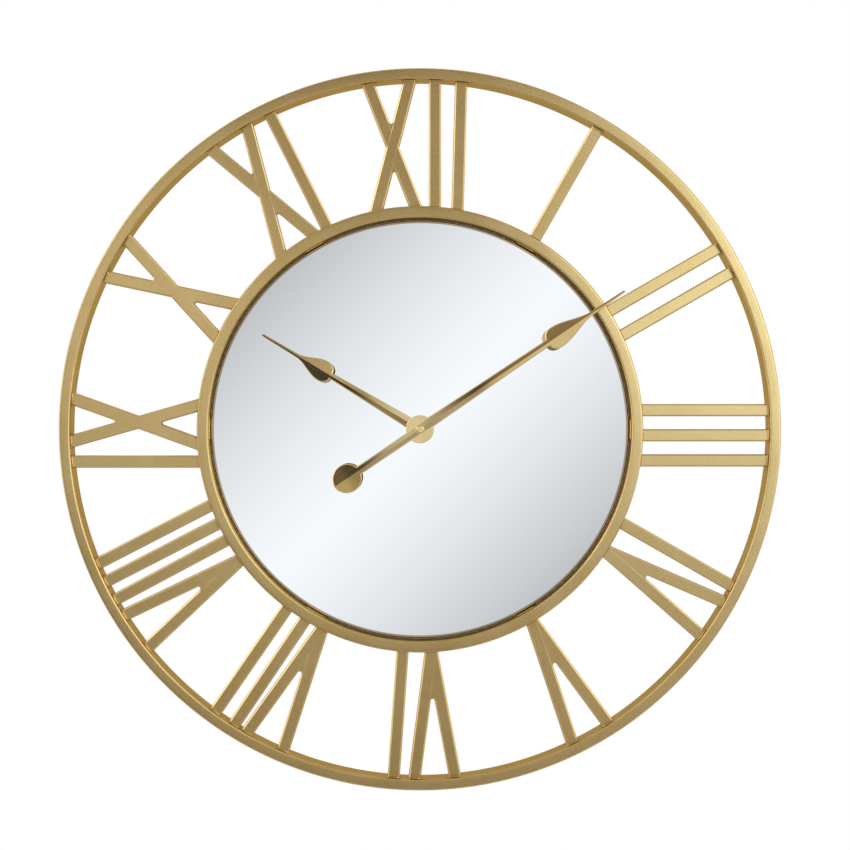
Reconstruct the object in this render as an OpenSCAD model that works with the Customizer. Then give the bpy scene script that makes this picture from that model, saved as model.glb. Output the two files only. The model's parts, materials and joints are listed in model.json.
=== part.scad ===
// Openwork wall clock: two flat-bar rings, twelve Roman numerals cut as bars, a mirror
// dial, folded spade hands and a quartz movement with its gear train.
// Everything is drawn as seen from the front: X right, Y up, Z towards the viewer,
// with the wall at Z = 0. hang() then turns the clock upright, front towards -Y,
// and puts the origin at the hanger's keyhole, on the wall.

/* [Rings] */
// Outside diameter of the clock
clock_d = 600; // [540:5:680]
// Radial thickness of the outer ring's bar
outer_ring_w = 9; // [6:0.5:14]
// Outside diameter of the inner ring
inner_ring_d = 371; // [340:1:400]
// Radial thickness of the inner ring's bar
inner_ring_w = 9.5; // [6:0.5:14]
// Depth of both rings, front to back
ring_depth = 30; // [28:0.5:40]
// Rounding along the rings' edges
ring_edge_r = 1.2; // [0.4:0.1:2]

/* [Numerals] */
// Width of a numeral's stroke
bar_w = 10.2; // [7:0.1:11]
// Depth of a stroke, front to back
bar_depth = 16; // [10:0.5:20]
// How far the strokes lie behind the rings' front
bar_set_back = 7; // [3:0.5:8]
// Rounding along the strokes' edges
bar_edge_r = 1.2; // [0.4:0.1:2]
// Radius of the rounded end of the slot in a V
v_notch_r = 1.8; // [1:0.1:2.4]
// Radius of the rounded corners where an X crosses
x_notch_r = 1.4; // [0.8:0.1:2]
// Half the spread of a V at the outer ring
v_spread = 17; // [15:0.5:19]
// Half the spacing of a V's strokes at the inner ring
v_foot = 0.4; // [0.3:0.1:1]
// Half the spread of an X at the inner ring
x_spread_in = 16; // [14:0.5:18]
// Half the spread of an X at the outer ring
x_spread_out = 18; // [16:0.5:20]

/* [Dial] */
// How far the mirror lies behind the rings' front
mirror_recess = 20; // [14:0.5:21]
// Thickness of the mirror glass
mirror_t = 3; // [2:0.5:4]
// Thickness of the foam mounting tape
tape_t = 1; // [0.5:0.1:1.5]
// Thickness of the backing board
board_t = 4; // [3:0.5:5]
// Gap round the mirror inside the inner ring
dial_gap = 1; // [0.5:0.1:2]
// Gap round the backing board inside the inner ring
board_gap = 0.4; // [0.3:0.1:1]
// Hole in the mirror for the movement's nozzle, diameter
mirror_hole_d = 10; // [9:0.5:14]
// Number of lugs that carry the board
lug_count = 6; // [4:1:8]
// Reach of a lug inwards from the ring
lug_l = 14; // [12:0.5:18]
// Width of a lug
lug_w = 16; // [12:0.5:24]
// Thickness of a lug
lug_t = 2; // [1.5:0.5:3]
// Length of a strip of mounting tape
tape_l = 110; // [80:5:120]
// Width of a strip of mounting tape
tape_w = 18; // [12:1:24]
// Distance of the tape's outer edge from the mirror's edge
tape_inset = 27; // [24:1:40]
// Bevel ground round the mirror's front edge
mirror_arris = 0.6; // [0.3:0.1:1]

/* [Hanging] */
// Height of the hanger's keyhole above the clock's centre
hang_rise = 110; // [90:1:125]
// Diameter of the keyhole's entry
keyhole_d = 10; // [8:0.5:12]
// Width of the keyhole's slot
keyhole_slot_w = 4.4; // [3.5:0.1:5]
// Length of the keyhole's slot, from the entry's centre
keyhole_slot_l = 12; // [9:0.5:16]
// Thickness of the hanger's steel
hanger_t = 1.5; // [1:0.1:2]
// Width of the hanger's raised plate
hanger_w = 30; // [26:1:40]
// Height of the hanger, along the wall
hanger_h = 36; // [32:1:44]
// Length of each of the hanger's feet
hanger_foot_l = 12; // [10:1:16]
// Diameter of a wall bumper
bumper_d = 16; // [12:1:20]
// Distance of the bumpers from the clock's centre
bumper_r = 140; // [100:1:145]
// Rubber left under the head of a bumper's screw
bumper_floor = 4; // [3:0.5:6]
// Space between the set knob and the wall
wall_clear = 0.9; // [0.5:0.1:4]

/* [Screws] */
// Diameter of the wood screws
screw_d = 3; // [2.5:0.1:3.5]
// Diameter of a screw's head
screw_head_d = 6; // [5:0.1:7]
// Height of a screw's head
screw_head_t = 1.8; // [1.4:0.1:2.2]
// Radial play of a screw in the sheet that it holds
screw_play = 0.2; // [0.1:0.05:0.4]
// How far a screw's tip stays below the board's front
screw_short = 0.6; // [0.3:0.1:1]

/* [Hands] */
// Space between the rings' front and the minute hand's hub
hand_clear = 5.2; // [4:0.1:8]
// Height of the minute hand's hub above the hour hand's
hand_pitch = 4.7; // [4.5:0.1:6]
// Thickness of the hands' sheet
hand_t = 0.8; // [0.5:0.1:1]
// Slope of each side of the fold, in degrees
hand_fold = 12; // [8:0.5:12]
// Height of the ridge above the hub disc
ridge_rise = 0.6; // [0.4:0.1:0.8]
// Reach of the minute hand's point
minute_tip = 205; // [190:1:215]
// Distance of the minute hand's spade shoulder
minute_base = 128; // [110:1:135]
// Length of the minute hand's spade, shoulder to neck
minute_spade_l = 46; // [38:1:52]
// Width of the minute hand's spade
minute_spade_w = 19.4; // [16:0.2:22]
// Width of the minute hand's bar at the hub
minute_root_w = 9; // [7:0.1:11]
// Width of the minute hand's bar at the spade
minute_end_w = 6.2; // [5:0.1:7]
// Distance of the minute hand's counterweight disc
tail_r = 73; // [60:1:80]
// Diameter of the counterweight disc
tail_d = 25; // [20:0.5:28]
// Width of the minute hand's tail
tail_w = 7.6; // [6:0.1:9]
// Diameter of the minute hand's hub disc
minute_hub_d = 23.3; // [20:0.1:26]
// Reach of the hour hand's point
hour_tip = 153; // [140:1:160]
// Distance of the hour hand's spade shoulder
hour_base = 86; // [75:1:95]
// Length of the hour hand's spade, shoulder to neck
hour_spade_l = 34; // [28:1:40]
// Width of the hour hand's spade
hour_spade_w = 18.7; // [16:0.1:22]
// Width of the hour hand's bar at the hub
hour_root_w = 10; // [8:0.1:11]
// Width of the hour hand's bar at the spade
hour_end_w = 5.7; // [5:0.1:7]
// Diameter of the hour hand's hub disc
hour_hub_d = 21.5; // [18:0.1:24]
// Length of the shoulder's rounding on both spades
shoulder_l = 8; // [5:0.5:9]
// Width of the needle at a spade's neck
needle_w = 2.6; // [2:0.1:3]
// Width of the needle at its point
point_w = 1.6; // [1:0.1:2]
// Minute hand's angle, clockwise from twelve
minute_angle = 56; // [0:1:359]
// Hour hand's angle, clockwise from twelve
hour_angle = 301; // [0:1:359]
// Diameter of the cap nut
cap_d = 6.9; // [6:0.1:8]

/* [Movement] */
// Width and height of the movement's case
case_w = 56; // [56:0.5:58]
// Depth of the movement's case
case_depth = 16; // [16:0.1:17]
// Wall of the movement's case
case_wall = 1.2; // [1:0.1:1.4]
// Corner radius of the movement's case
case_corner_r = 4; // [2:0.5:6]
// Gap round the case inside the board's cut-out
case_gap = 2; // [1:0.5:4]
// Diameter of the threaded nozzle
nozzle_d = 8; // [7.6:0.1:8.4]
// Diameter of the hour tube
hour_tube_d = 6; // [5.6:0.1:6.2]
// Diameter of the minute shaft
minute_shaft_d = 3.5; // [3:0.1:3.5]
// Width across the flats of the centre nut
centre_nut_w = 13; // [12:0.5:15]
// Thickness of the centre nut
centre_nut_t = 3; // [2:0.5:4]
// Diameter of the rubber and brass washers
washer_d = 18; // [16:0.5:22]
// Thickness of a washer
washer_t = 0.5; // [0.4:0.1:0.8]
// Diameter of the AA cell
cell_d = 14.2; // [14:0.1:14.5]
// Length of the AA cell with its nub
cell_l = 50; // [49.5:0.1:50.5]
// Diameter of the set knob
knob_d = 10; // [8:0.5:11]
// Thickness of the set knob
knob_t = 3.4; // [3:0.1:4]
// Diameter of the rotor's magnet
magnet_d = 6; // [5:0.1:6.4]
// Diameter of the coil's flanges
coil_d = 6; // [5:0.1:6.4]

/* [Gears] */
// Distance from the centre to the motion work's arbor
motion_distance = 11; // [10.8:0.1:11.4]
// Distance from the centre to the third wheel's arbor
third_distance = 10.8; // [10.6:0.1:11]
// Distance from the centre to the intermediate wheel's arbor
intermediate_distance = 8.75; // [8.6:0.05:9]
// Distance from the intermediate wheel's arbor to the rotor's
rotor_distance = 7.5; // [7.4:0.05:7.8]
// Thickness of a train wheel
wheel_t = 0.6; // [0.5:0.1:0.7]
// Face width of a train pinion
pinion_t = 1.2; // [1:0.1:1.2]
// Play taken off each tooth's thickness
tooth_play = 0.05; // [0.04:0.01:0.08]

/* [Fits] */
// Radial play of a shaft that turns
run_fit = 0.05; // [0.02:0.01:0.08]
// Radial play of a fixed pin in its hole
pin_fit = 0.04; // [0.02:0.01:0.06]
// Gap left for the weld where a stroke meets a ring
weld_gap = 0.05; // [0.03:0.01:0.1]
// Gap between parts that slide past each other
slide_gap = 0.25; // [0.2:0.05:0.4]

/* [Hidden] */
$fn = 48;
cut = 1;
lap = 0.1;
gold = [0.78, 0.66, 0.41];
silver = [0.78, 0.8, 0.82];
steel = [0.6, 0.62, 0.64];
brass = [0.82, 0.68, 0.35];
black_plastic = [0.1, 0.1, 0.11];
white_plastic = [0.9, 0.9, 0.86];

// Rings and dial, from the wall forwards
knob_gap = 0.2;
case_back = wall_clear + knob_t + knob_gap;
case_front = case_back + case_depth;
mirror_back = case_front + washer_t;
mirror_front = mirror_back + mirror_t;
ring_front = mirror_front + mirror_recess;
ring_back = ring_front - ring_depth;
inner_r = inner_ring_d / 2;
inner_hole_r = inner_r - inner_ring_w;
outer_hole_r = clock_d / 2 - outer_ring_w;
board_front = mirror_back - tape_t;
board_back = board_front - board_t;
lug_back = board_back - lug_t;
dial_r = inner_hole_r - dial_gap;
bar_front = ring_front - bar_set_back;
bar_mid = bar_front - bar_depth / 2;
notch_bite = 0.15;
halving = 0.05;
lug_screw_r = inner_hole_r - lug_l / 2;
function lug_angle(i) = 90 + 360 / lug_count * (i + 0.5);
pilot_d = screw_d + 2 * pin_fit;
screw_hole_d = screw_d + 2 * screw_play;
screw_tip = board_front - screw_short;

// Each numeral's strokes: kind, then where its middle meets the inner and the outer
// ring, in mm to the right of that hour's own radius
STROKES = [
    [["I", 3.5, 3]],
    [["I", -6.5, -6.5], ["I", 16.5, 16.5]],
    [["I", -16, -16], ["I", 5, 5], ["I", 26, 26]],
    [["I", -16.5, -17], ["V", 10.5, 15]],
    [["V", -1, 4]],
    [["V", -9.5, -12.5], ["I", 14.5, 22]],
    [["V", -12.5, -18.5], ["I", 3.5, 11], ["I", 21.5, 30]],
    [["V", -19.5, -28], ["I", 0.5, 4], ["I", 16, 21], ["I", 32.5, 37.5]],
    [["I", -27, -27], ["X", 4, 8]],
    [["X", -2.5, -3]],
    [["X", -11.5, -16.5], ["I", 17, 23]],
    [["X", -19.5, -26.5], ["I", 12.5, 12.5], ["I", 31.5, 34.5]]
];

// Hands, from the minute hand's hub backwards
minute_seat = ring_front + hand_clear;
hour_seat = minute_seat - hand_pitch;
bush_flange_t = 1.2;
bush_flange_w = 1.5;
bush_rim_t = 0.3;
hour_rivet_d = 8;
minute_rivet_d = 5.4;
end_float = 0.8;
flat_gap = 0.4;
hand_drop = 5;
nozzle_end = hour_seat - bush_flange_t - end_float;
hour_tube_end = hour_seat + hand_t + bush_rim_t;
shaft_shoulder = minute_seat + hand_t + bush_rim_t;
thread_d = 2.5;
cap_t = 2.6;
cap_bore_t = 2;
thread_l = 1.8;
dimple_d = 2.2;
dimple_t = 0.3;

// Movement, from its front face backwards
inner_front = case_front - case_wall;
cover_front = case_back + case_wall;
cavity = case_w - 2 * case_wall;
bay_wall_y = -cavity / 2 + cell_d + 2 * slide_gap;
bay_wall_t = 1;
bay_ledge = 1;
cell_y = -cavity / 2 + slide_gap + cell_d / 2;
cell_z = case_back + 0.1 + cell_d / 2;
cell_rim = 0.6;
nub_d = 5.5;
nub_l = 1;
contact_t = 0.4;
contact_w = 8;
contact_gap = 0.02;

// Teeth: the minute arbor turns the hour wheel at 1/12 and the seconds wheel at 60
cannon_teeth = 16;
minute_wheel_teeth = 48;
minute_pinion_teeth = 12;
hour_wheel_teeth = 48;
centre_wheel_teeth = 64;
train_pinion_teeth = 8;
train_wheel_teeth = 60;
motor_pinion_teeth = 10;
intermediate_teeth = 50;

hour_wheel_t = 1;
collar_t = 0.6;
hour_collar_d = hour_tube_d + 3;
layer_gap = 0.1;
wheel_gap = 0.4;
hour_wheel_z = inner_front - layer_gap - collar_t - hour_wheel_t;
minute_wheel_t = 0.8;
cannon_t = 1.6;
cannon_z = hour_wheel_z - wheel_gap - cannon_t;
minute_wheel_z = cannon_z + (cannon_t - minute_wheel_t) / 2;
minute_pinion_t = 2;
centre_wheel_t = 0.8;
centre_wheel_z = cannon_z - wheel_gap - 2 * layer_gap - centre_wheel_t;
plate_t = 0.8;
plate_z = centre_wheel_z - 2 * layer_gap - plate_t;
plate_bearing_z = plate_z + plate_t / 2;
third_wheel_z = plate_z - wheel_gap - wheel_t;
seconds_pinion_z = plate_z - 2 * layer_gap - pinion_t;
train_pitch = 0.7;
seconds_wheel_z = seconds_pinion_z - layer_gap - train_pitch - wheel_t;
intermediate_pinion_z = seconds_wheel_z + (wheel_t - pinion_t) / 2;
intermediate_wheel_z = intermediate_pinion_z - train_pitch - wheel_t;
rotor_pinion_z = intermediate_wheel_z + (wheel_t - pinion_t) / 2;
magnet_t = 2.6;
magnet_z = plate_z - 3 * layer_gap - magnet_t;
boss_d = 3;
boss_top = cover_front + 1.3;
pivot_l = 0.8;
pivot_bottom = boss_top - pivot_l;
arbor_r = 0.7;
pivot_r = 0.4;
centre_pivot_r = 1.2;
knob_grip = 2.4;

// Arbors' places, seen from the front
third_dir = 35;
motion_dir = 180;
intermediate_dir = 120;
rotor_dir = 140;
motion_at = motion_distance * [cos(motion_dir), sin(motion_dir)];
third_at = third_distance * [cos(third_dir), sin(third_dir)];
intermediate_at = intermediate_distance * [cos(intermediate_dir), sin(intermediate_dir)];
rotor_at = intermediate_at + rotor_distance * [cos(rotor_dir), sin(rotor_dir)];

// Front plate of the train, the motor and the circuit board
plate_x = 24;
plate_low = bay_wall_y + 2;
plate_high = 17.5;
post_d = 3;
post_inset = 2;
stator_t = 0.8;
stator_z = magnet_z + (magnet_t - stator_t) / 2;
stator_leg_w = 2.5;
stator_left = rotor_at[0] - 13.5;
stator_right = rotor_at[0] + 6.5;
stator_low = rotor_at[1] - 4.8;
stator_shoulder = rotor_at[1] + 4;
stator_top = cavity / 2 - 2.5;
circuit_at = [14, 19.5];
circuit_size = [19, 11];
circuit_t = 0.8;
circuit_post_t = 1.5;
circuit_z = cover_front + circuit_post_t;

// Gear proportions, in modules and degrees
pressure_angle = 20;
pinion_addendum = 0.9;
wheel_addendum = 0.8;
dedendum = 1.1;

// Turn the clock upright, with the keyhole at the origin
module hang() {
    rotate([90, 0, 0]) translate([0, -hang_rise, 0]) children();
}

// Flat shape of a rectangle with round corners, about its centre
module round_rect(w, h, r) {
    square([w - 2 * r, h], center = true);
    square([w, h - 2 * r], center = true);
    for (x = [-1, 1], y = [-1, 1])
        translate([x * (w / 2 - r), y * (h / 2 - r)]) circle(r);
}

// Disc or tube between two heights
module disc(d, z0, z1, bore = 0) {
    translate([0, 0, z0]) linear_extrude(z1 - z0) difference() {
        circle(d = d);
        if (bore > 0) circle(d = bore);
    }
}

// Hoop of flat bar on edge, with rounded edges
module hoop(outside_r, w) {
    translate([0, 0, ring_back + ring_depth / 2])
        rotate_extrude($fn = 180)
            translate([outside_r - w / 2, 0]) round_rect(w, ring_depth, ring_edge_r);
}

module outer_ring() {
    color(gold) hang() hoop(clock_d / 2, outer_ring_w);
}

// Inner ring with the lugs welded inside it that carry the board
module inner_ring() {
    color(gold) hang() {
        hoop(inner_r, inner_ring_w);
        for (i = [0 : lug_count - 1]) rotate(lug_angle(i)) difference() {
            translate([inner_hole_r - lug_l, -lug_w / 2, lug_back])
                cube([lug_l + inner_ring_w / 2, lug_w, lug_t]);
            translate([lug_screw_r, 0, 0]) disc(screw_hole_d, lug_back - cut, board_back + cut);
        }
    }
}

// Screw with a domed head, its tip towards the viewer and its head's seat at seat_z
module pan_screw(seat_z, tip_z) {
    slot_l = 0.55 * screw_head_d;
    slot_w = 0.7;
    slot_t = 0.8;
    disc(screw_d, seat_z, tip_z);
    difference() {
        translate([0, 0, seat_z]) rotate([180, 0, 0]) dome(screw_head_d, screw_head_t);
        for (a = [0, 90]) rotate(a)
            translate([0, 0, seat_z - screw_head_t]) cube([slot_l, slot_w, 2 * slot_t], center = true);
    }
}

// Flat-bottomed dome
module dome(d, h) {
    ball_r = (d * d / 4 + h * h) / (2 * h);
    intersection() {
        translate([0, 0, h - ball_r]) sphere(ball_r, $fn = 64);
        cylinder(d = d, h = h);
    }
}

// One stroke of a numeral, from the inner ring to the outer ring; where two cross, the
// second is set in by a hair, front and back
module stroke(u_in, u_out, set_in = 0) {
    past = bar_w;
    tilt = atan2(u_out - u_in, outer_hole_r - inner_r);
    length = (outer_hole_r - inner_r) / cos(tilt) + 2 * past;
    translate([u_in, inner_r, bar_mid]) rotate(-tilt) translate([0, -past, 0])
        rotate([-90, 0, 0]) linear_extrude(length)
            round_rect(bar_w, bar_depth - 2 * set_in, bar_edge_r, $fn = 8);
}

// Web with a rounded end between two strokes that meet at an angle of twice half_a
module notch(half_a, r) {
    centre_y = (bar_w / 2 + r - notch_bite) / sin(half_a);
    web_y = centre_y - (r - notch_bite) * sin(half_a);
    web_t = bar_depth - 4 * halving;
    translate([0, 0, bar_mid - web_t / 2]) linear_extrude(web_t) difference() {
        polygon([[0, -cut], [web_y * tan(half_a), web_y], [-web_y * tan(half_a), web_y]]);
        translate([0, centre_y]) circle(r);
    }
}

// Two strokes that cross, or meet just inside the inner ring where spread_in is negative,
// with a web on each side of the crossing that shows
module crossed_strokes(u_in, u_out, spread_in, spread_out, notch_r, sides) {
    span = outer_hole_r - inner_r;
    a1 = atan2(u_out + spread_out - u_in + spread_in, span);
    a2 = atan2(u_out - spread_out - u_in - spread_in, span);
    cross = spread_in / (spread_in + spread_out);
    stroke(u_in - spread_in, u_out + spread_out);
    stroke(u_in + spread_in, u_out - spread_out, halving);
    translate([u_in + (u_out - u_in) * cross, inner_r + span * cross, 0])
        rotate(-(a1 + a2) / 2) for (side = sides) rotate(side) notch((a1 - a2) / 2, notch_r);
}

module v_strokes(u_in, u_out) {
    crossed_strokes(u_in, u_out, -v_foot, v_spread, v_notch_r, [0]);
}

module x_strokes(u_in, u_out) {
    crossed_strokes(u_in, u_out, x_spread_in, x_spread_out, x_notch_r, [0, 180]);
}

// A numeral, its ends cut to the rings' walls
module numeral(hour) {
    color(gold) hang() rotate(-30 * hour) intersection() {
        for (s = STROKES[hour - 1]) {
            if (s[0] == "I") stroke(s[1], s[2]);
            if (s[0] == "V") v_strokes(s[1], s[2]);
            if (s[0] == "X") x_strokes(s[1], s[2]);
        }
        disc(2 * (outer_hole_r - weld_gap), ring_back, ring_front, 2 * (inner_r + weld_gap), $fn = 180);
    }
}

module numeral_1() { numeral(1); }
module numeral_2() { numeral(2); }
module numeral_3() { numeral(3); }
module numeral_4() { numeral(4); }
module numeral_5() { numeral(5); }
module numeral_6() { numeral(6); }
module numeral_7() { numeral(7); }
module numeral_8() { numeral(8); }
module numeral_9() { numeral(9); }
module numeral_10() { numeral(10); }
module numeral_11() { numeral(11); }
module numeral_12() { numeral(12); }

module mirror_edge_profile() {
    polygon([[mirror_hole_d / 2, 0], [dial_r, 0], [dial_r, mirror_t - mirror_arris],
             [dial_r - mirror_arris, mirror_t], [mirror_hole_d / 2, mirror_t]]);
}

module mirror_glass() {
    color(silver) hang() translate([0, 0, mirror_back])
        rotate_extrude($fn = 180) mirror_edge_profile();
}

// Foam tape in strips between the mirror and the board
module mounting_tape() {
    color("white") hang() for (i = [0 : 5]) rotate(60 * i)
        translate([-tape_l / 2, dial_r - tape_inset - tape_w, board_front]) cube([tape_l, tape_w, tape_t]);
}

module backing_board() {
    cut_w = case_w + 2 * case_gap;
    color("tan") hang() difference() {
        disc(2 * (inner_hole_r - board_gap), board_back, board_front, $fn = 180);
        translate([0, 0, board_back - cut]) linear_extrude(board_t + 2 * cut)
            round_rect(cut_w, cut_w, case_corner_r + case_gap);
        board_pilots();
    }
}

// Pilot holes for every screw that goes into the board
module board_pilots() {
    for (i = [0 : lug_count - 1]) rotate(lug_angle(i))
        translate([lug_screw_r, 0, 0]) disc(pilot_d, board_back - cut, board_front + cut);
    hanger_screw_places() disc(pilot_d, board_back - cut, board_front + cut);
    bumper_places() disc(pilot_d, board_back - cut, board_front + cut);
}

module board_screws() {
    color(steel) hang() for (i = [0 : lug_count - 1]) rotate(lug_angle(i))
        translate([lug_screw_r, 0, 0]) pan_screw(lug_back, screw_tip);
}

module hanger_screw_places() {
    for (x = [-1, 1], y = [-1, 1])
        translate([x * (hanger_w / 2 + hanger_foot_l / 2), hang_rise + y * hanger_h / 4, 0]) children();
}

// Steel strip bent to a hat: a raised plate with the keyhole, two legs and two feet
module hanger_bracket() {
    color(steel) hang() translate([0, hang_rise, 0]) difference() {
        translate([0, hanger_h / 2, 0]) rotate([90, 0, 0]) linear_extrude(hanger_h) hat_outline();
        translate([0, 0, -cut]) linear_extrude(hanger_t + 2 * cut) {
            circle(d = keyhole_d);
            translate([-keyhole_slot_w / 2, 0]) square([keyhole_slot_w, keyhole_slot_l]);
            translate([0, keyhole_slot_l]) circle(d = keyhole_slot_w);
        }
        translate([0, -hang_rise, 0]) hanger_screw_places()
            disc(screw_hole_d, board_back - hanger_t - cut, board_back + cut);
    }
}

// Section of the bracket, with Y along the wall's normal
module hat_outline() {
    for (side = [0, 1]) mirror([side, 0, 0]) {
        square([hanger_w / 2, hanger_t]);
        translate([hanger_w / 2 - hanger_t, 0]) square([hanger_t, board_back]);
        translate([hanger_w / 2 - hanger_t, board_back - hanger_t])
            square([hanger_t + hanger_foot_l, hanger_t]);
    }
}

module hanger_screws() {
    color(steel) hang() hanger_screw_places() pan_screw(board_back - hanger_t, screw_tip);
}

module bumper_places() {
    for (a = [215, 325]) rotate(a) translate([bumper_r, 0, 0]) children();
}

// Rubber feet that keep the clock parallel to the wall, each round a countersunk screw
module wall_bumpers() {
    color([0.15, 0.15, 0.15]) hang() bumper_places() difference() {
        translate([0, 0, board_back]) rotate([180, 0, 0])
            rotate_extrude() bumper_profile();
        disc(pilot_d, -cut, board_back + cut);
        disc(screw_head_d + 1, -cut, board_back - bumper_floor);
    }
}

module bumper_profile() {
    bevel = 1.5;
    polygon([[0, 0], [bumper_d / 2, 0], [bumper_d / 2 - 1, board_back - bevel],
             [bumper_d / 2 - 1 - bevel, board_back], [0, board_back]]);
}

module bumper_screws() {
    color(steel) hang() bumper_places() pan_screw(board_back - bumper_floor, screw_tip);
}

// Outline of the movement's case, less an inset
module case_outline(inset = 0) {
    w = case_w - 2 * inset;
    round_rect(w, w, case_corner_r - inset / 2);
}

// Front half of the case: a tray with the battery bay's wall and the threaded nozzle
module movement_case() {
    color(black_plastic) hang() difference() {
        union() {
            difference() {
                translate([0, 0, cover_front]) linear_extrude(case_front - cover_front) case_outline();
                translate([0, 0, cover_front - cut]) linear_extrude(inner_front - cover_front + cut)
                    case_outline(case_wall);
            }
            translate([-cavity / 2 - lap, bay_wall_y, cover_front])
                cube([cavity + 2 * lap, bay_wall_t, inner_front - cover_front + lap]);
            disc(nozzle_d, inner_front, nozzle_end);
        }
        disc(hour_tube_d + 2 * run_fit, inner_front - cut, nozzle_end + cut);
    }
}

// Back cover with bearings for the arbors, and the opening of the battery bay
module movement_cover() {
    color(black_plastic) hang() difference() {
        union() {
            difference() {
                translate([0, 0, case_back]) linear_extrude(case_wall) case_outline();
                translate([-cavity / 2 + bay_ledge, -cavity / 2, case_back - cut])
                    cube([cavity - 2 * bay_ledge, bay_wall_y + cavity / 2, case_wall + 2 * cut]);
            }
            for (at = [[0, 0], third_at, intermediate_at, rotor_at])
                translate(at) disc(boss_d, cover_front - lap, boss_top);
            circuit_posts();
        }
        for (at = [[0, 0], third_at, intermediate_at, rotor_at])
            translate(at) disc(2 * (pivot_r + run_fit), pivot_bottom - layer_gap, boss_top + cut);
        translate(motion_at) disc(2 * (arbor_r + run_fit), case_back - cut, cover_front + cut);
    }
}

// Posts on the cover that hold the circuit board
module circuit_posts() {
    for (x = [-1, 1])
        translate([circuit_at[0] + x * (circuit_size[0] / 2 - post_d), circuit_at[1]])
            disc(post_d, cover_front - lap, circuit_z);
}

module rubber_washer() {
    color([0.12, 0.12, 0.12]) hang() disc(washer_d, case_front, mirror_back, nozzle_d + 2 * pin_fit);
}

module brass_washer() {
    color(brass) hang()
        disc(washer_d, mirror_front, mirror_front + washer_t, nozzle_d + 2 * pin_fit);
}

module centre_nut() {
    z = mirror_front + washer_t;
    color(brass) hang() difference() {
        intersection() {
            translate([0, 0, z]) cylinder(d = centre_nut_w / cos(30), h = centre_nut_t, $fn = 6);
            translate([0, 0, z + centre_nut_t]) rotate([180, 0, 0])
                nut_chamfer(centre_nut_w / cos(30), centre_nut_t);
        }
        disc(nozzle_d + 2 * pin_fit, z - cut, z + centre_nut_t + cut);
    }
}

// Cone that takes the corners off a nut's face, drawn face down
module nut_chamfer(d, h) {
    bevel = 0.9;
    rotate_extrude()
        polygon([[0, 0], [d / 2 - bevel, 0], [d / 2 + lap, bevel * 2 / 3], [d / 2 + lap, h], [0, h]]);
}

// Right half of a hand's outline: bar, shoulder, spade, neck and needle
function hand_edge(root_w, end_w, base_r, spade_l, spade_w, tip_r) = concat(
    [[0, 0], [root_w / 2, 0]],
    [for (a = [0 : 15 : 90])
        [end_w / 2 + (spade_w - end_w) / 2 * sin(a), base_r + shoulder_l * (1 - cos(a))]],
    [for (t = [0.1 : 0.1 : 1])
        [needle_w / 2 + (spade_w - needle_w) / 4 * (1 + cos(180 * t)),
         base_r + shoulder_l + (spade_l - shoulder_l) * t]],
    [[point_w / 2, tip_r - point_w / 2], [0, tip_r]]
);

// Sheet folded along Y, its ridge at Z = 0; the child is the outline's right half
module folded_sheet() {
    for (side = [0, 1]) mirror([side, 0, 0])
        rotate([0, hand_fold, 0]) translate([0, 0, -hand_t]) linear_extrude(hand_t) children();
}

// Hand with its hub disc below the ridge, a hole for the bush and a flat for the cap
module hand_on_hub(hub_d, bore_d, flat_d) {
    hub_top = -ridge_rise;
    hub_bottom = hub_top - hand_t;
    difference() {
        children();
        disc(hub_d, hub_bottom - hand_drop, hub_bottom);
        disc(flat_d, hub_top, cut);
        disc(bore_d, hub_bottom - cut, cut);
    }
    disc(hub_d, hub_bottom, hub_top, bore_d);
}

module hour_hand() {
    color(gold) hang() translate([0, 0, hour_seat + hand_t + ridge_rise]) rotate(-hour_angle)
        hand_on_hub(hour_hub_d, hour_rivet_d + 2 * pin_fit, hour_rivet_d + 2 * flat_gap)
            folded_sheet() polygon(hand_edge(hour_root_w, hour_end_w, hour_base, hour_spade_l,
                                             hour_spade_w, hour_tip));
}

module minute_hand() {
    color(gold) hang() translate([0, 0, minute_seat + hand_t + ridge_rise]) rotate(-minute_angle)
        hand_on_hub(minute_hub_d, minute_rivet_d + 2 * pin_fit, cap_d + 2 * flat_gap) folded_sheet() {
            polygon(hand_edge(minute_root_w, minute_end_w, minute_base, minute_spade_l,
                              minute_spade_w, minute_tip));
            translate([0, -tail_r]) square([tail_w / 2, tail_r]);
            intersection() {
                translate([0, -tail_r]) circle(d = tail_d);
                translate([0, -tail_r - tail_d]) square([tail_d, 2 * tail_d]);
            }
        }
}

// Collets that the hands are riveted to
module hour_bush() {
    bore = hour_tube_d + 2 * pin_fit;
    color(brass) hang() {
        disc(hour_rivet_d + 2 * bush_flange_w, hour_seat - bush_flange_t, hour_seat, bore);
        disc(hour_rivet_d, hour_seat - lap, hour_tube_end, bore);
    }
}

module minute_bush() {
    bore = minute_shaft_d + 2 * pin_fit;
    color(brass) hang() {
        disc(minute_rivet_d + 2 * bush_flange_w, minute_seat - bush_flange_t, minute_seat, bore);
        disc(minute_rivet_d, hour_tube_end + end_float, shaft_shoulder, bore);
    }
}

// Round nut with a dimple, screwed on the minute shaft's end
module cap_nut() {
    color(gold) hang() translate([0, 0, shaft_shoulder]) difference() {
        dome_top(cap_d, cap_t);
        disc(thread_d + 2 * pin_fit, -cut, cap_bore_t);
        disc(dimple_d, cap_t - dimple_t, cap_t + cut);
    }
}

module dome_top(d, h) {
    rotate_extrude() {
        square([d / 2, h - 1]);
        square([d / 2 - 1, h]);
        translate([d / 2 - 1, h - 1]) circle(1);
    }
}

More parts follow.
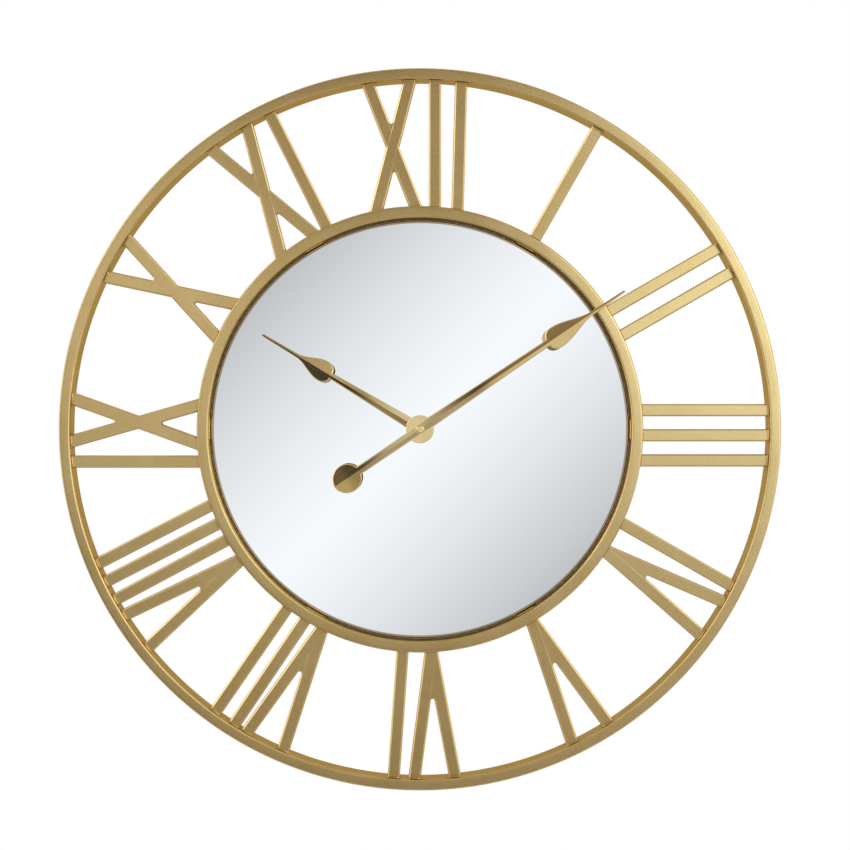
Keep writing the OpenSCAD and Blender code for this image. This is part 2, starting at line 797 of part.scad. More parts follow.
// Involute gear teeth, with the first tooth centred at angle phase
function inv(a) = tan(a) * 180 / PI - a;
function tooth_half(r, r_pitch, r_base, teeth) =
    90 / teeth - tooth_play / 2 / r_pitch * 180 / PI + inv(pressure_angle)
    - (r > r_base ? inv(acos(r_base / r)) : 0);
function gear_radii(teeth, pitch, m) =
    teeth < 30
        ? let (root = pitch - dedendum * m, base = max(root, pitch * cos(pressure_angle)),
               tip = pitch + pinion_addendum * m)
          [root, base + 0.001, (base + tip) / 2, tip]
        : [pitch - dedendum * m, pitch, pitch + wheel_addendum * m];
function gear_points(teeth, m, phase) =
    let (pitch = m * teeth / 2, base = pitch * cos(pressure_angle), radii = gear_radii(teeth, pitch, m),
         last = len(radii) - 1)
    [for (i = [0 : teeth - 1], side = [-1, 1], j = [0 : last])
        let (r = radii[side < 0 ? j : last - j],
             a = phase + 360 / teeth * i + side * tooth_half(r, pitch, base, teeth))
        [r * cos(a), r * sin(a)]];

// Phase of the gear that meshes with one of a_teeth at phase a_phase, in direction dir
function mesh_phase(a_teeth, a_phase, b_teeth, dir) =
    dir + 180 - 180 / b_teeth + (dir - a_phase) * a_teeth / b_teeth;

module gear(teeth, m, phase, z, t, bore = 0) {
    translate([0, 0, z]) linear_extrude(t) difference() {
        polygon(gear_points(teeth, m, phase));
        if (bore > 0) circle(d = bore);
    }
}

// Gear wheel with four round windows between its spokes
module windowed_gear(teeth, m, phase, z, t, bore = 0) {
    window_at = 0.29 * teeth * m;
    window_d = 0.19 * teeth * m;
    difference() {
        gear(teeth, m, phase, z, t, bore);
        for (i = [0 : 3]) rotate(90 * i)
            translate([window_at, 0, 0]) disc(window_d, z - cut, z + t + cut);
    }
}

cannon_m = 2 * motion_distance / (cannon_teeth + minute_wheel_teeth);
motion_m = 2 * motion_distance / (minute_pinion_teeth + hour_wheel_teeth);
centre_m = 2 * third_distance / (centre_wheel_teeth + train_pinion_teeth);
third_m = 2 * third_distance / (train_wheel_teeth + train_pinion_teeth);
seconds_m = 2 * intermediate_distance / (train_wheel_teeth + motor_pinion_teeth);
rotor_m = 2 * rotor_distance / (intermediate_teeth + motor_pinion_teeth);

// Hour wheel with its collar and the long tube that carries the hour hand
module hour_wheel() {
    bore = minute_shaft_d + 2 * run_fit;
    phase = mesh_phase(minute_pinion_teeth, 0, hour_wheel_teeth, motion_dir + 180);
    color(white_plastic) hang() {
        gear(hour_wheel_teeth, motion_m, phase, hour_wheel_z, hour_wheel_t, bore);
        disc(hour_collar_d, hour_wheel_z + lap, hour_wheel_z + hour_wheel_t + collar_t, bore);
        disc(hour_tube_d, hour_wheel_z + lap, hour_tube_end, bore);
    }
}

// Minute shaft in one piece with its cannon pinion, threaded at the front for the cap
module minute_arbor() {
    color(steel) hang() {
        disc(2 * centre_pivot_r, plate_bearing_z + layer_gap, centre_wheel_z);
        disc(minute_shaft_d, centre_wheel_z - layer_gap, shaft_shoulder);
        disc(thread_d, shaft_shoulder - lap, shaft_shoulder + thread_l);
        gear(cannon_teeth, cannon_m, 0, cannon_z, cannon_t);
    }
}

module centre_wheel() {
    color(brass) hang() windowed_gear(centre_wheel_teeth, centre_m, 0, centre_wheel_z,
                                      centre_wheel_t, minute_shaft_d + 2 * pin_fit);
}

// Motion work wheel with its pinion, on the arbor that the set knob turns
module minute_wheel() {
    phase = mesh_phase(cannon_teeth, 0, minute_wheel_teeth, motion_dir);
    color(white_plastic) hang() translate(motion_at) {
        gear(minute_wheel_teeth, cannon_m, phase, minute_wheel_z, minute_wheel_t);
        gear(minute_pinion_teeth, motion_m, 0, minute_wheel_z + minute_wheel_t - lap, minute_pinion_t);
        disc(2 * arbor_r, case_back - knob_gap - knob_grip, inner_front - layer_gap);
    }
}

// Knurled knob on the back for setting the time
module set_knob() {
    grooves = 16;
    groove_d = 1;
    knob_top = wall_clear + knob_t;
    color(black_plastic) hang() translate(motion_at) difference() {
        disc(knob_d, wall_clear, knob_top);
        for (i = [0 : grooves - 1]) rotate(360 / grooves * i)
            translate([knob_d / 2, 0, 0]) disc(groove_d, wall_clear - cut, knob_top + cut);
        disc(2 * (arbor_r + pin_fit), knob_top - knob_grip - layer_gap, knob_top + cut);
    }
}

// Arbor of a train wheel, with a thinner pivot at each end
module arbor(z_top, pivot_top) {
    disc(2 * arbor_r, boss_top + layer_gap, z_top);
    disc(2 * pivot_r, pivot_bottom, boss_top + layer_gap + lap);
    disc(2 * pivot_r, z_top - lap, pivot_top);
}

module third_wheel() {
    phase = mesh_phase(centre_wheel_teeth, 0, train_pinion_teeth, third_dir);
    color(white_plastic) hang() translate(third_at) {
        windowed_gear(train_wheel_teeth, third_m, 0, third_wheel_z, wheel_t);
        gear(train_pinion_teeth, centre_m, phase, plate_z + plate_t + layer_gap, pinion_t);
        arbor(plate_z - layer_gap, plate_z + plate_t + layer_gap + lap);
    }
}

module seconds_wheel() {
    phase = mesh_phase(train_wheel_teeth, 0, train_pinion_teeth, third_dir + 180);
    color(white_plastic) hang() {
        windowed_gear(train_wheel_teeth, seconds_m, 0, seconds_wheel_z, wheel_t);
        gear(train_pinion_teeth, third_m, phase, seconds_pinion_z, pinion_t);
        arbor(seconds_pinion_z + lap, plate_bearing_z - layer_gap);
    }
}

module intermediate_wheel() {
    phase = mesh_phase(train_wheel_teeth, 0, motor_pinion_teeth, intermediate_dir);
    color(white_plastic) hang() translate(intermediate_at) {
        windowed_gear(intermediate_teeth, rotor_m, 0, intermediate_wheel_z, wheel_t);
        gear(motor_pinion_teeth, seconds_m, phase, intermediate_pinion_z, pinion_t);
        arbor(plate_z - layer_gap, plate_z + plate_t - layer_gap);
    }
}

// Rotor: a plastic pinion and arbor that carry a ring magnet
module rotor_pinion() {
    phase = mesh_phase(intermediate_teeth, 0, motor_pinion_teeth, rotor_dir);
    color(white_plastic) hang() translate(rotor_at) {
        gear(motor_pinion_teeth, rotor_m, phase, rotor_pinion_z, pinion_t);
        arbor(plate_z - layer_gap, plate_z + plate_t - layer_gap);
    }
}

module rotor_magnet() {
    color([0.25, 0.25, 0.27]) hang() translate(rotor_at)
        disc(magnet_d, magnet_z, magnet_z + magnet_t, 2 * (arbor_r + pin_fit));
}

// Plate that holds the front pivots, on four posts that stand against the case's front
module train_plate() {
    color(white_plastic) hang() difference() {
        union() {
            translate([-plate_x, plate_low, plate_z])
                cube([2 * plate_x, plate_high - plate_low, plate_t]);
            for (x = [-1, 1], y = [plate_low + post_inset, plate_high - post_inset])
                translate([x * (plate_x - post_inset), y]) disc(post_d, plate_z + lap, inner_front);
        }
        disc(2 * (centre_pivot_r + run_fit), plate_bearing_z, plate_z + plate_t + cut);
        for (at = [[0, 0], third_at, intermediate_at, rotor_at])
            translate(at) disc(2 * (pivot_r + run_fit), plate_z - cut, plate_z + plate_t + cut);
        translate(motion_at) disc(2 * (arbor_r + run_fit), plate_z - cut, plate_z + plate_t + cut);
    }
}

// Soft iron plate round the rotor, with two legs up to the coil's core
module stator() {
    color(steel) hang() translate([0, 0, stator_z]) linear_extrude(stator_t) difference() {
        union() {
            translate([stator_left, stator_low])
                square([stator_right - stator_left, stator_shoulder - stator_low]);
            for (x = [stator_left, stator_right - stator_leg_w])
                translate([x, rotor_at[1]]) square([stator_leg_w, stator_top - rotor_at[1]]);
        }
        translate(rotor_at) circle(d = magnet_d + 1);
        translate(intermediate_at) circle(r = motor_pinion_teeth * seconds_m / 2 + 0.8);
    }
}

// Core across the stator's legs, lying on them
module coil_core() {
    color(steel) hang() translate([stator_left, stator_top - stator_leg_w, stator_z - stator_t])
        cube([stator_right - stator_left, stator_leg_w, stator_t]);
}

// Winding between two flanges, on the core
module coil() {
    flange_t = 0.8;
    flange_rim = 0.4;
    end_gap = 0.3;
    length = stator_right - stator_left - 2 * (stator_leg_w + end_gap);
    color([0.72, 0.42, 0.22]) hang()
        translate([stator_left + stator_leg_w + end_gap, stator_top - stator_leg_w / 2,
                   stator_z - stator_t / 2])
            rotate([0, 90, 0]) difference() {
                union() {
                    cylinder(d = coil_d - 2 * flange_rim, h = length);
                    for (z = [0, length - flange_t])
                        translate([0, 0, z]) cylinder(d = coil_d, h = flange_t);
                }
                translate([0, 0, length / 2])
                    cube([stator_t + 2 * pin_fit, stator_leg_w + 2 * pin_fit, length + 2 * cut],
                         center = true);
            }
}

module circuit_board() {
    chip_d = 5;
    chip_t = 0.7;
    chip_x = 4;
    chip_z = circuit_z + circuit_t;
    color([0.1, 0.35, 0.2]) hang() translate(circuit_at) {
        translate([-circuit_size[0] / 2, -circuit_size[1] / 2, circuit_z])
            cube([circuit_size[0], circuit_size[1], circuit_t]);
        translate([chip_x, 0]) disc(chip_d, chip_z - lap, chip_z + chip_t);
    }
}

// Crystal in its tin can, lying on the circuit board
module quartz_crystal() {
    can_d = 2;
    can_l = 6;
    color(silver) hang() translate(circuit_at)
        translate([-6, -can_l / 2, circuit_z + circuit_t + can_d / 2])
            rotate([-90, 0, 0]) cylinder(d = can_d, h = can_l);
}

// Contact strips at both ends of the battery bay, each with a domed button
module battery_contacts() {
    button_d = 6;
    button_t = (cavity - cell_l) / 2 - contact_gap - contact_t - slide_gap;
    height = inner_front - cover_front - 2 * contact_gap;
    color(silver) hang() for (side = [-1, 1]) {
        translate([side * (cavity / 2 - contact_gap - contact_t / 2), cell_y,
                   cover_front + contact_gap + height / 2])
            cube([contact_t, contact_w, height], center = true);
        translate([side * (cavity / 2 - contact_gap - contact_t + lap), cell_y, cell_z])
            rotate([0, -90 * side, 0]) dome(button_d, button_t + lap);
    }
}

// AA cell, its nub to the right
module battery_cell() {
    can_l = cell_l - nub_l;
    color([0.2, 0.35, 0.6]) hang() translate([-cell_l / 2, cell_y, cell_z]) rotate([0, 90, 0])
        rotate_extrude() {
            square([cell_d / 2 - cell_rim, can_l]);
            translate([0, cell_rim]) square([cell_d / 2, can_l - 2 * cell_rim]);
            for (y = [cell_rim, can_l - cell_rim])
                translate([cell_d / 2 - cell_rim, y]) circle(cell_rim);
            square([nub_d / 2, cell_l]);
        }
}

outer_ring();
inner_ring();
numeral_1();
numeral_2();
numeral_3();
numeral_4();
numeral_5();
numeral_6();
numeral_7();
numeral_8();
numeral_9();
numeral_10();
numeral_11();
numeral_12();
mirror_glass();
mounting_tape();
backing_board();
board_screws();
hanger_bracket();
hanger_screws();
wall_bumpers();
bumper_screws();
movement_case();
movement_cover();
rubber_washer();
brass_washer();
centre_nut();
hour_hand();
hour_bush();
minute_hand();
minute_bush();
cap_nut();
hour_wheel();
minute_arbor();
centre_wheel();
minute_wheel();
set_knob();
third_wheel();
seconds_wheel();
intermediate_wheel();
rotor_magnet();
rotor_pinion();
train_plate();
stator();
coil_core();
coil();
circuit_board();
quartz_crystal();
battery_contacts();
battery_cell();
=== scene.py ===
import json
import math

import bmesh
import bpy
from mathutils import Matrix, Vector


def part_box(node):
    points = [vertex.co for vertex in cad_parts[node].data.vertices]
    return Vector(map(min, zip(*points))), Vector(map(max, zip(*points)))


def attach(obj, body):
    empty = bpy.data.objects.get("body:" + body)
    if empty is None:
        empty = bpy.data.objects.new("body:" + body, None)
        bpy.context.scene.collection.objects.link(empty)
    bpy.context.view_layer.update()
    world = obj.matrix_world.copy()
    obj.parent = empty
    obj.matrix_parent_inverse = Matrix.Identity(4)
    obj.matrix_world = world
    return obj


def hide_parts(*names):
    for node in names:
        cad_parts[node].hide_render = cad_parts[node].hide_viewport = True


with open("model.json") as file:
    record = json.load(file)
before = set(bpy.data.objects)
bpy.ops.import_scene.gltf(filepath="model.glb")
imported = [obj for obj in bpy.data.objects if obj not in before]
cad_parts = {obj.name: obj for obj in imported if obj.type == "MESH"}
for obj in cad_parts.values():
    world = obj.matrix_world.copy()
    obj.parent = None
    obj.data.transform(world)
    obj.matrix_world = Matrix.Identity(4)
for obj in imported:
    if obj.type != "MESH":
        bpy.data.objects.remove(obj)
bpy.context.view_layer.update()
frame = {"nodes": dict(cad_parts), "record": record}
nodes = frame["nodes"]
print("frame loaded with", len(nodes), "nodes")

mm = 0.001
ringLow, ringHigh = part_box("outer_ring")
glassLow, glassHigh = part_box("mirror_glass")
dialZ = (ringLow.z + ringHigh.z) / 2  # the dial's axis runs along Y at this height


# Helpers for shader and geometry trees
def plug(tree, socket, value):
    if isinstance(value, bpy.types.NodeSocket):
        tree.links.new(value, socket)
    else:
        socket.default_value = value


def addNode(tree, kind, wires=None, **settings):
    node = tree.nodes.new(kind)
    for name, value in settings.items():
        setattr(node, name, value)
    for key, value in (wires or {}).items():
        plug(tree, node.inputs[key], value)
    return node


def maths(tree, operation, *values):
    node = addNode(tree, "ShaderNodeMath", operation=operation)
    for socket, value in zip(node.inputs, values):
        plug(tree, socket, value)
    return node.outputs[0]


def vectorMaths(tree, operation, *values):
    node = addNode(tree, "ShaderNodeVectorMath", operation=operation)
    for socket, value in zip(node.inputs, values):
        plug(tree, socket, value)
    single = operation in ("DOT_PRODUCT", "LENGTH", "DISTANCE")
    return node.outputs["Value" if single else "Vector"]


def remap(tree, value, fromMin, fromMax, toMin=0.0, toMax=1.0, smooth=False):
    node = addNode(tree, "ShaderNodeMapRange", {
        "Value": value, "From Min": fromMin, "From Max": fromMax, "To Min": toMin, "To Max": toMax})
    node.interpolation_type = "SMOOTHSTEP" if smooth else "LINEAR"
    return node.outputs["Result"]


def scaled(tree, vector, share):
    node = addNode(tree, "ShaderNodeVectorMath", {0: vector, "Scale": share}, operation="SCALE")
    return node.outputs["Vector"]


def blendColours(tree, factor, first, second):
    node = addNode(tree, "ShaderNodeMix", data_type="RGBA")
    plug(tree, node.inputs[0], factor)
    for socket, colour in ((node.inputs[6], first), (node.inputs[7], second)):
        plug(tree, socket, colour if isinstance(colour, bpy.types.NodeSocket) else (*colour, 1))
    return node.outputs[2]


def noise(tree, place, size, detail=2.0, w=None):
    # size is the width of a blot in metres
    node = addNode(tree, "ShaderNodeTexNoise", {
        "Vector": place, "Scale": 1 / size, "Detail": detail})
    if w is not None:
        node.noise_dimensions = "4D"
        plug(tree, node.inputs["W"], w)
    return node.outputs[0]


def weighed(tree, first, share, second):
    # A share of the first value, and the rest of the second
    rest = maths(tree, "MULTIPLY", second, 1 - share)
    return maths(tree, "MULTIPLY_ADD", first, share, rest)


def roughen(tree, shader, value, low, high):
    # Roughness that follows a noise, which mostly stays between 0.3 and 0.7
    plug(tree, shader.inputs["Roughness"], remap(tree, value, 0.3, 0.7, low, high))


def bump(tree, height, depth):
    return addNode(tree, "ShaderNodeBump", {"Height": height, "Distance": depth}).outputs["Normal"]


def newMaterial(name):
    material = bpy.data.materials.new(name)
    material.use_nodes = True
    tree = material.node_tree
    place = addNode(tree, "ShaderNodeTexCoord").outputs["Object"]
    return material, tree, tree.nodes["Principled BSDF"], place


def fromAxis(tree, place):
    # Direction and distance from the dial's axis, for patterns that run round the dial
    offset = vectorMaths(tree, "SUBTRACT", place, (0, 0, dialZ))
    offset = vectorMaths(tree, "MULTIPLY", offset, (1, 0, 1))
    return vectorMaths(tree, "NORMALIZE", offset), vectorMaths(tree, "LENGTH", offset)


goldLook = {
    "pale": (0.76, 0.55, 0.245),
    "deep": (0.58, 0.394, 0.137),
    "grazing": (0.43, 0.325, 0.165),  # what it reflects edge on
    "roughness": 0.24,
    "roughnessSwing": 0.04,
    "anisotropic": 0.6,
    "grainWidth": 1.4 * mm,
    "grainLength": 16 * mm,
    "grainDepth": 0.003 * mm,
    "grainShare": 0.75,  # of the tone; the patches give the rest
    "patch": 40 * mm,
    "toneRange": (0.36, 0.64),  # where the noise is wholly deep, and wholly pale
    "acrossGrain": 0.24,
    "lineLean": 0.3,  # leans the lines to the dial's axis, so that none is square to the face
}


def satinGold():
    look = goldLook
    material, tree, shader, place = newMaterial("satinGold")
    outwards, radius = fromAxis(tree, place)
    # Grain lines run round the dial: short across a line, long along it
    along = vectorMaths(tree, "MULTIPLY", outwards, (look["acrossGrain"], 0, look["acrossGrain"]))
    depth = vectorMaths(tree, "MULTIPLY", place, (0, look["grainLength"] / look["grainWidth"], 0))
    grainPlace = vectorMaths(tree, "ADD", along, depth)
    across = maths(tree, "MULTIPLY", radius, 1 / look["grainWidth"])
    grain = noise(tree, grainPlace, look["grainLength"], 3.0, across)
    patches = noise(tree, place, look["patch"], 3.0)
    tone = remap(tree, weighed(tree, grain, look["grainShare"], patches), *look["toneRange"])
    plug(tree, shader.inputs["Base Color"], blendColours(tree, tone, look["deep"], look["pale"]))
    rough, swing = look["roughness"], look["roughnessSwing"]
    roughen(tree, shader, grain, rough - swing, rough + swing)
    shader.inputs["Metallic"].default_value = 1
    shader.inputs["Specular Tint"].default_value = (*look["grazing"], 1)
    shader.inputs["Anisotropic"].default_value = look["anisotropic"]
    plug(tree, shader.inputs["Normal"], bump(tree, grain, look["grainDepth"]))
    # The highlight spreads across the grain, so the tangent is square to the lines
    lines = vectorMaths(tree, "CROSS_PRODUCT", outwards, (0, 1, 0))
    lines = vectorMaths(tree, "ADD", lines, (0, look["lineLean"], 0))
    normal = addNode(tree, "ShaderNodeNewGeometry").outputs["Normal"]
    tangent = vectorMaths(tree, "NORMALIZE", vectorMaths(tree, "CROSS_PRODUCT", normal, lines))
    plug(tree, shader.inputs["Tangent"], tangent)
    return material


handLook = {
    "pale": (0.84, 0.66, 0.34),
    "deep": (0.74, 0.56, 0.26),
    "grazing": (0.45, 0.34, 0.16),
    "roughness": 0.12,
    "roughnessSwing": 0.03,
    "grainWidth": 0.4 * mm,
    "stretch": 40,  # times as long as wide
    "grainDepth": 0.0001 * mm,
    "patch": 18 * mm,
}


def handGold(name, degrees):
    # Fine lines along the hand, which points degrees clockwise from twelve
    look = handLook
    material, tree, shader, place = newMaterial(name)
    turned = addNode(tree, "ShaderNodeMapping", {
        "Vector": place, "Rotation": (0, -math.radians(degrees), 0)}).outputs["Vector"]
    stretched = vectorMaths(tree, "MULTIPLY", turned, (1, 1, 1 / look["stretch"]))
    grain = noise(tree, stretched, look["grainWidth"], 2.0)
    patches = noise(tree, place, look["patch"], 2.0)
    tone = remap(tree, maths(tree, "ADD", grain, patches), 0.7, 1.3)
    plug(tree, shader.inputs["Base Color"], blendColours(tree, tone, look["deep"], look["pale"]))
    roughen(tree, shader, grain, look["roughness"], look["roughness"] + look["roughnessSwing"])
    shader.inputs["Metallic"].default_value = 1
    shader.inputs["Specular Tint"].default_value = (*look["grazing"], 1)
    plug(tree, shader.inputs["Normal"], bump(tree, grain, look["grainDepth"]))
    return material


mirrorLook = {
    "silver": (0.94, 0.955, 0.965),
    "edge": (0.16, 0.30, 0.25),
    "backPaint": (0.30, 0.31, 0.32),
    "backPaintDeep": (0.24, 0.248, 0.256),
    "silveredDepth": 1.1 * mm,  # down to the foot of the bevel round its front
    "skin": 0.06 * mm,
    "streak": 60 * mm,
    "roughness": 0.002,
    "streakRoughness": 0.006,
    "edgeRoughness": 0.12,
    "backRoughness": 0.54,
    "rim": (0.52, 0.41, 0.26),  # painted reflection: the ring's wall, seen again in the last of the silver, painted into its colour
    "paintedReflectionWidth": 2.1 * mm,
    "paintedReflectionRoughness": 0.06,
}


def mirrorFinish():
    look = mirrorLook
    material, tree, shader, place = newMaterial("silveredMirror")
    y = addNode(tree, "ShaderNodeSeparateXYZ", {"Vector": place}).outputs["Y"]
    front = maths(tree, "LESS_THAN", y, glassLow.y + look["silveredDepth"])
    back = maths(tree, "GREATER_THAN", y, glassHigh.y - look["skin"])
    radius = fromAxis(tree, place)[1]
    # Painted reflection: the last of the silver round its edge is coloured like the ring's wall
    # seen in it
    paintedReflectionBand = maths(tree, "GREATER_THAN", radius, (glassHigh.x - glassLow.x) / 2 - look["paintedReflectionWidth"])
    silver = blendColours(tree, paintedReflectionBand, look["silver"], look["rim"])
    streaks = noise(tree, place, look["streak"], 2.0)
    paint = blendColours(tree, streaks, look["backPaint"], look["backPaintDeep"])
    rim = blendColours(tree, back, look["edge"], paint)
    plug(tree, shader.inputs["Base Color"], blendColours(tree, front, rim, silver))
    plug(tree, shader.inputs["Metallic"], front)
    edgeRough = look["edgeRoughness"]
    dull = maths(tree, "MULTIPLY_ADD", back, look["backRoughness"] - edgeRough, edgeRough)
    clear = maths(tree, "MULTIPLY_ADD", streaks, look["streakRoughness"], look["roughness"])
    clear = maths(tree, "MULTIPLY_ADD", paintedReflectionBand, look["paintedReflectionRoughness"], clear)
    mixed = maths(tree, "ADD", maths(tree, "MULTIPLY", front, clear),
                  maths(tree, "MULTIPLY", maths(tree, "SUBTRACT", 1.0, front), dull))
    plug(tree, shader.inputs["Roughness"], mixed)
    return material


# Plain finishes: two tones mixed by patches and grain, with a bump of that grain
finishes = {
    "zincSteel": {
        "pale": (0.62, 0.63, 0.64), "deep": (0.45, 0.46, 0.47), "metallic": 1,
        "roughness": 0.34, "patch": 3 * mm, "grain": 0.3 * mm, "depth": 0.004 * mm},
    "brightBrass": {
        "pale": (0.78, 0.58, 0.26), "deep": (0.66, 0.46, 0.18), "metallic": 1,
        "roughness": 0.22, "patch": 5 * mm, "grain": 0.2 * mm, "depth": 0.002 * mm},
    "nickelPlate": {
        "pale": (0.72, 0.70, 0.66), "deep": (0.60, 0.58, 0.55), "metallic": 1,
        "roughness": 0.2, "patch": 4 * mm, "grain": 0.15 * mm, "depth": 0.002 * mm},
    "ferriteMagnet": {
        "pale": (0.13, 0.13, 0.135), "deep": (0.07, 0.07, 0.075), "metallic": 0,
        "roughness": 0.6, "patch": 1 * mm, "grain": 0.1 * mm, "depth": 0.01 * mm},
    "softRubber": {
        "pale": (0.055, 0.055, 0.055), "deep": (0.03, 0.03, 0.03), "metallic": 0,
        "roughness": 0.75, "patch": 6 * mm, "grain": 0.25 * mm, "depth": 0.02 * mm},
    "sparkedPlastic": {
        "pale": (0.045, 0.045, 0.05), "deep": (0.025, 0.025, 0.028), "metallic": 0,
        "roughness": 0.48, "patch": 9 * mm, "grain": 0.22 * mm, "depth": 0.02 * mm},
    "acetal": {
        "pale": (0.84, 0.84, 0.79), "deep": (0.74, 0.74, 0.69), "metallic": 0,
        "roughness": 0.35, "patch": 4 * mm, "grain": 0.5 * mm, "depth": 0.003 * mm},
    "foamTape": {
        "pale": (0.86, 0.86, 0.83), "deep": (0.70, 0.70, 0.67), "metallic": 0,
        "roughness": 0.85, "patch": 12 * mm, "grain": 0.35 * mm, "depth": 0.05 * mm},
    "enamelledWire": {
        "pale": (0.62, 0.27, 0.11), "deep": (0.48, 0.18, 0.07), "metallic": 1,
        "roughness": 0.28, "patch": 2 * mm, "grain": 0.1 * mm, "depth": 0.002 * mm},
    "solderResist": {
        "pale": (0.05, 0.22, 0.10), "deep": (0.03, 0.15, 0.07), "metallic": 0,
        "roughness": 0.3, "patch": 1.2 * mm, "grain": 0.2 * mm, "depth": 0.006 * mm},
}


def plainFinish(name):
    look = finishes[name]
    material, tree, shader, place = newMaterial(name)
    patches = noise(tree, place, look["patch"], 3.0)
    grain = noise(tree, place, look["grain"], 2.0)
    tone = remap(tree, weighed(tree, grain, 0.4, patches), 0.3, 0.7)
    plug(tree, shader.inputs["Base Color"], blendColours(tree, tone, look["deep"], look["pale"]))
    shader.inputs["Metallic"].default_value = look["metallic"]
    swing = 0.06
    roughen(tree, shader, patches, look["roughness"] - swing, look["roughness"] + swing)
    plug(tree, shader.inputs["Normal"], bump(tree, grain, look["depth"]))
    return material


boardLook = {
    "pale": (0.40, 0.27, 0.15),
    "deep": (0.27, 0.17, 0.085),
    "fibre": 1.4 * mm,
    "fibreDepth": 0.06 * mm,
    "cloud": 25 * mm,
    "roughness": (0.72, 0.9),
    # painted shade: the board's front is near-black, so the gap round the mirror reads as a dark
    # line
    "paintedGapShade": (0.012, 0.012, 0.012),
    "gapShadeSkin": 0.3 * mm,
}


def fibreboard():
    look = boardLook
    material, tree, shader, place = newMaterial("fibreboard")
    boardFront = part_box("backing_board")[0].y
    y = addNode(tree, "ShaderNodeSeparateXYZ", {"Vector": place}).outputs["Y"]
    # Painted shade: the front face is made near-black, so the gap round the mirror reads as a dark
    # line
    painted = maths(tree, "LESS_THAN", y, boardFront + look["gapShadeSkin"])
    fibres = noise(tree, place, look["fibre"], 6.0)
    cloud = noise(tree, place, look["cloud"], 2.0)
    tone = remap(tree, weighed(tree, fibres, 0.7, cloud), 0.32, 0.68)
    raw = blendColours(tree, tone, look["deep"], look["pale"])
    plug(tree, shader.inputs["Base Color"], blendColours(tree, painted, raw, look["paintedGapShade"]))
    roughen(tree, shader, fibres, *look["roughness"])
    plug(tree, shader.inputs["Normal"], bump(tree, fibres, look["fibreDepth"]))
    return material


cellLook = {
    "sleeve": (0.055, 0.115, 0.29),
    "sleeveDeep": (0.04, 0.085, 0.22),
    "band": (0.62, 0.60, 0.56),
    "bandShare": 0.78,
    "bareMetal": (0.70, 0.69, 0.66),
    "bareEnd": 1.6 * mm,
    "nub": 1 * mm,
    "mottle": 3 * mm,
    "roughness": (0.24, 0.34),
}


def cellFinish():
    # Plain two-tone sleeve, bare metal at both ends
    look = cellLook
    low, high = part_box("battery_cell")
    material, tree, shader, place = newMaterial("cellSleeve")
    x = addNode(tree, "ShaderNodeSeparateXYZ", {"Vector": place}).outputs["X"]
    mottle = noise(tree, place, look["mottle"], 2.0)
    blue = blendColours(tree, mottle, look["sleeveDeep"], look["sleeve"])
    banded = maths(tree, "GREATER_THAN", x, low.x + look["bandShare"] * (high.x - low.x))
    sleeve = blendColours(tree, banded, blue, look["band"])
    bareLeft = maths(tree, "LESS_THAN", x, low.x + look["bareEnd"])
    bareRight = maths(tree, "GREATER_THAN", x, high.x - look["bareEnd"] - look["nub"])
    bare = maths(tree, "MAXIMUM", bareLeft, bareRight)
    plug(tree, shader.inputs["Base Color"], blendColours(tree, bare, sleeve, look["bareMetal"]))
    plug(tree, shader.inputs["Metallic"], maths(tree, "MAXIMUM", bare, banded))
    roughen(tree, shader, mottle, *look["roughness"])
    return material


minuteAngle = 56
hourAngle = 301
slotMaterial = {
    "gold": satinGold(),
    "mirror": mirrorFinish(),
    "tape": plainFinish("foamTape"),
    "board": fibreboard(),
    "steel": plainFinish("zincSteel"),
    "black_rubber": plainFinish("softRubber"),
    "brass": plainFinish("brightBrass"),
    "black_plastic": plainFinish("sparkedPlastic"),
    "white_plastic": plainFinish("acetal"),
    "magnet": plainFinish("ferriteMagnet"),
    "copper_wire": plainFinish("enamelledWire"),
    "circuit_laminate": plainFinish("solderResist"),
    "nickel": plainFinish("nickelPlate"),
    "cell_can": cellFinish(),
}
minuteGold = handGold("minuteHandGold", minuteAngle)
hourGold = handGold("hourHandGold", hourAngle)
nodeMaterial = {"minute_hand": minuteGold, "cap_nut": minuteGold, "hour_hand": hourGold}
for part in frame["record"]["subparts"]:
    finish = nodeMaterial.get(part["node"]) or slotMaterial[part["material_slot"]]
    mesh = nodes[part["node"]].data
    mesh.materials.clear()
    mesh.materials.append(finish)
print("finishes set on every node")


def newObject(name, mesh, material):
    mesh.materials.clear()
    mesh.materials.append(material)
    thing = bpy.data.objects.new(name, mesh)
    bpy.context.scene.collection.objects.link(thing)
    return thing


def finishPiece(thing, body):
    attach(thing, body)


def bakeModifiers(thing):
    # Gives the object the mesh that its modifiers make
    bpy.context.view_layer.update()
    evaluated = thing.evaluated_get(bpy.context.evaluated_depsgraph_get())
    mesh = bpy.data.meshes.new_from_object(evaluated)
    thing.modifiers.clear()
    thing.data = mesh


def solidOfRevolution(name, profile, steps=64):
    # profile is a list of (radius, height) in metres from axis to axis; heights are along Z
    bm = bmesh.new()
    verts = [bm.verts.new((r, 0, z)) for r, z in profile]
    edges = [bm.edges.new(pair) for pair in zip(verts, verts[1:])]
    bmesh.ops.spin(bm, geom=verts + edges, axis=(0, 0, 1), cent=(0, 0, 0), steps=steps,
                   angle=2 * math.pi)
    bmesh.ops.remove_doubles(bm, verts=bm.verts[:], dist=2e-6)
    bmesh.ops.recalc_face_normals(bm, faces=bm.faces[:])
    mesh = bpy.data.meshes.new(name)
    bm.to_mesh(mesh)
    bm.free()
    return mesh


def ontoDial(y):
    # Stands a shape that lies flat up on the dial's axis, its level 0 at y and its Z to the viewer
    return Matrix.Translation((0, y, dialZ)) @ Matrix.Rotation(math.pi / 2, 4, "X")


def ontoDialTurned(degrees, z):
    # The same for a hand's plan, which has its point along Y, turned clockwise from twelve
    turn = Matrix.Rotation(-math.radians(degrees), 4, "Z")
    return ontoDial(0) @ Matrix.Translation((0, 0, z)) @ turn


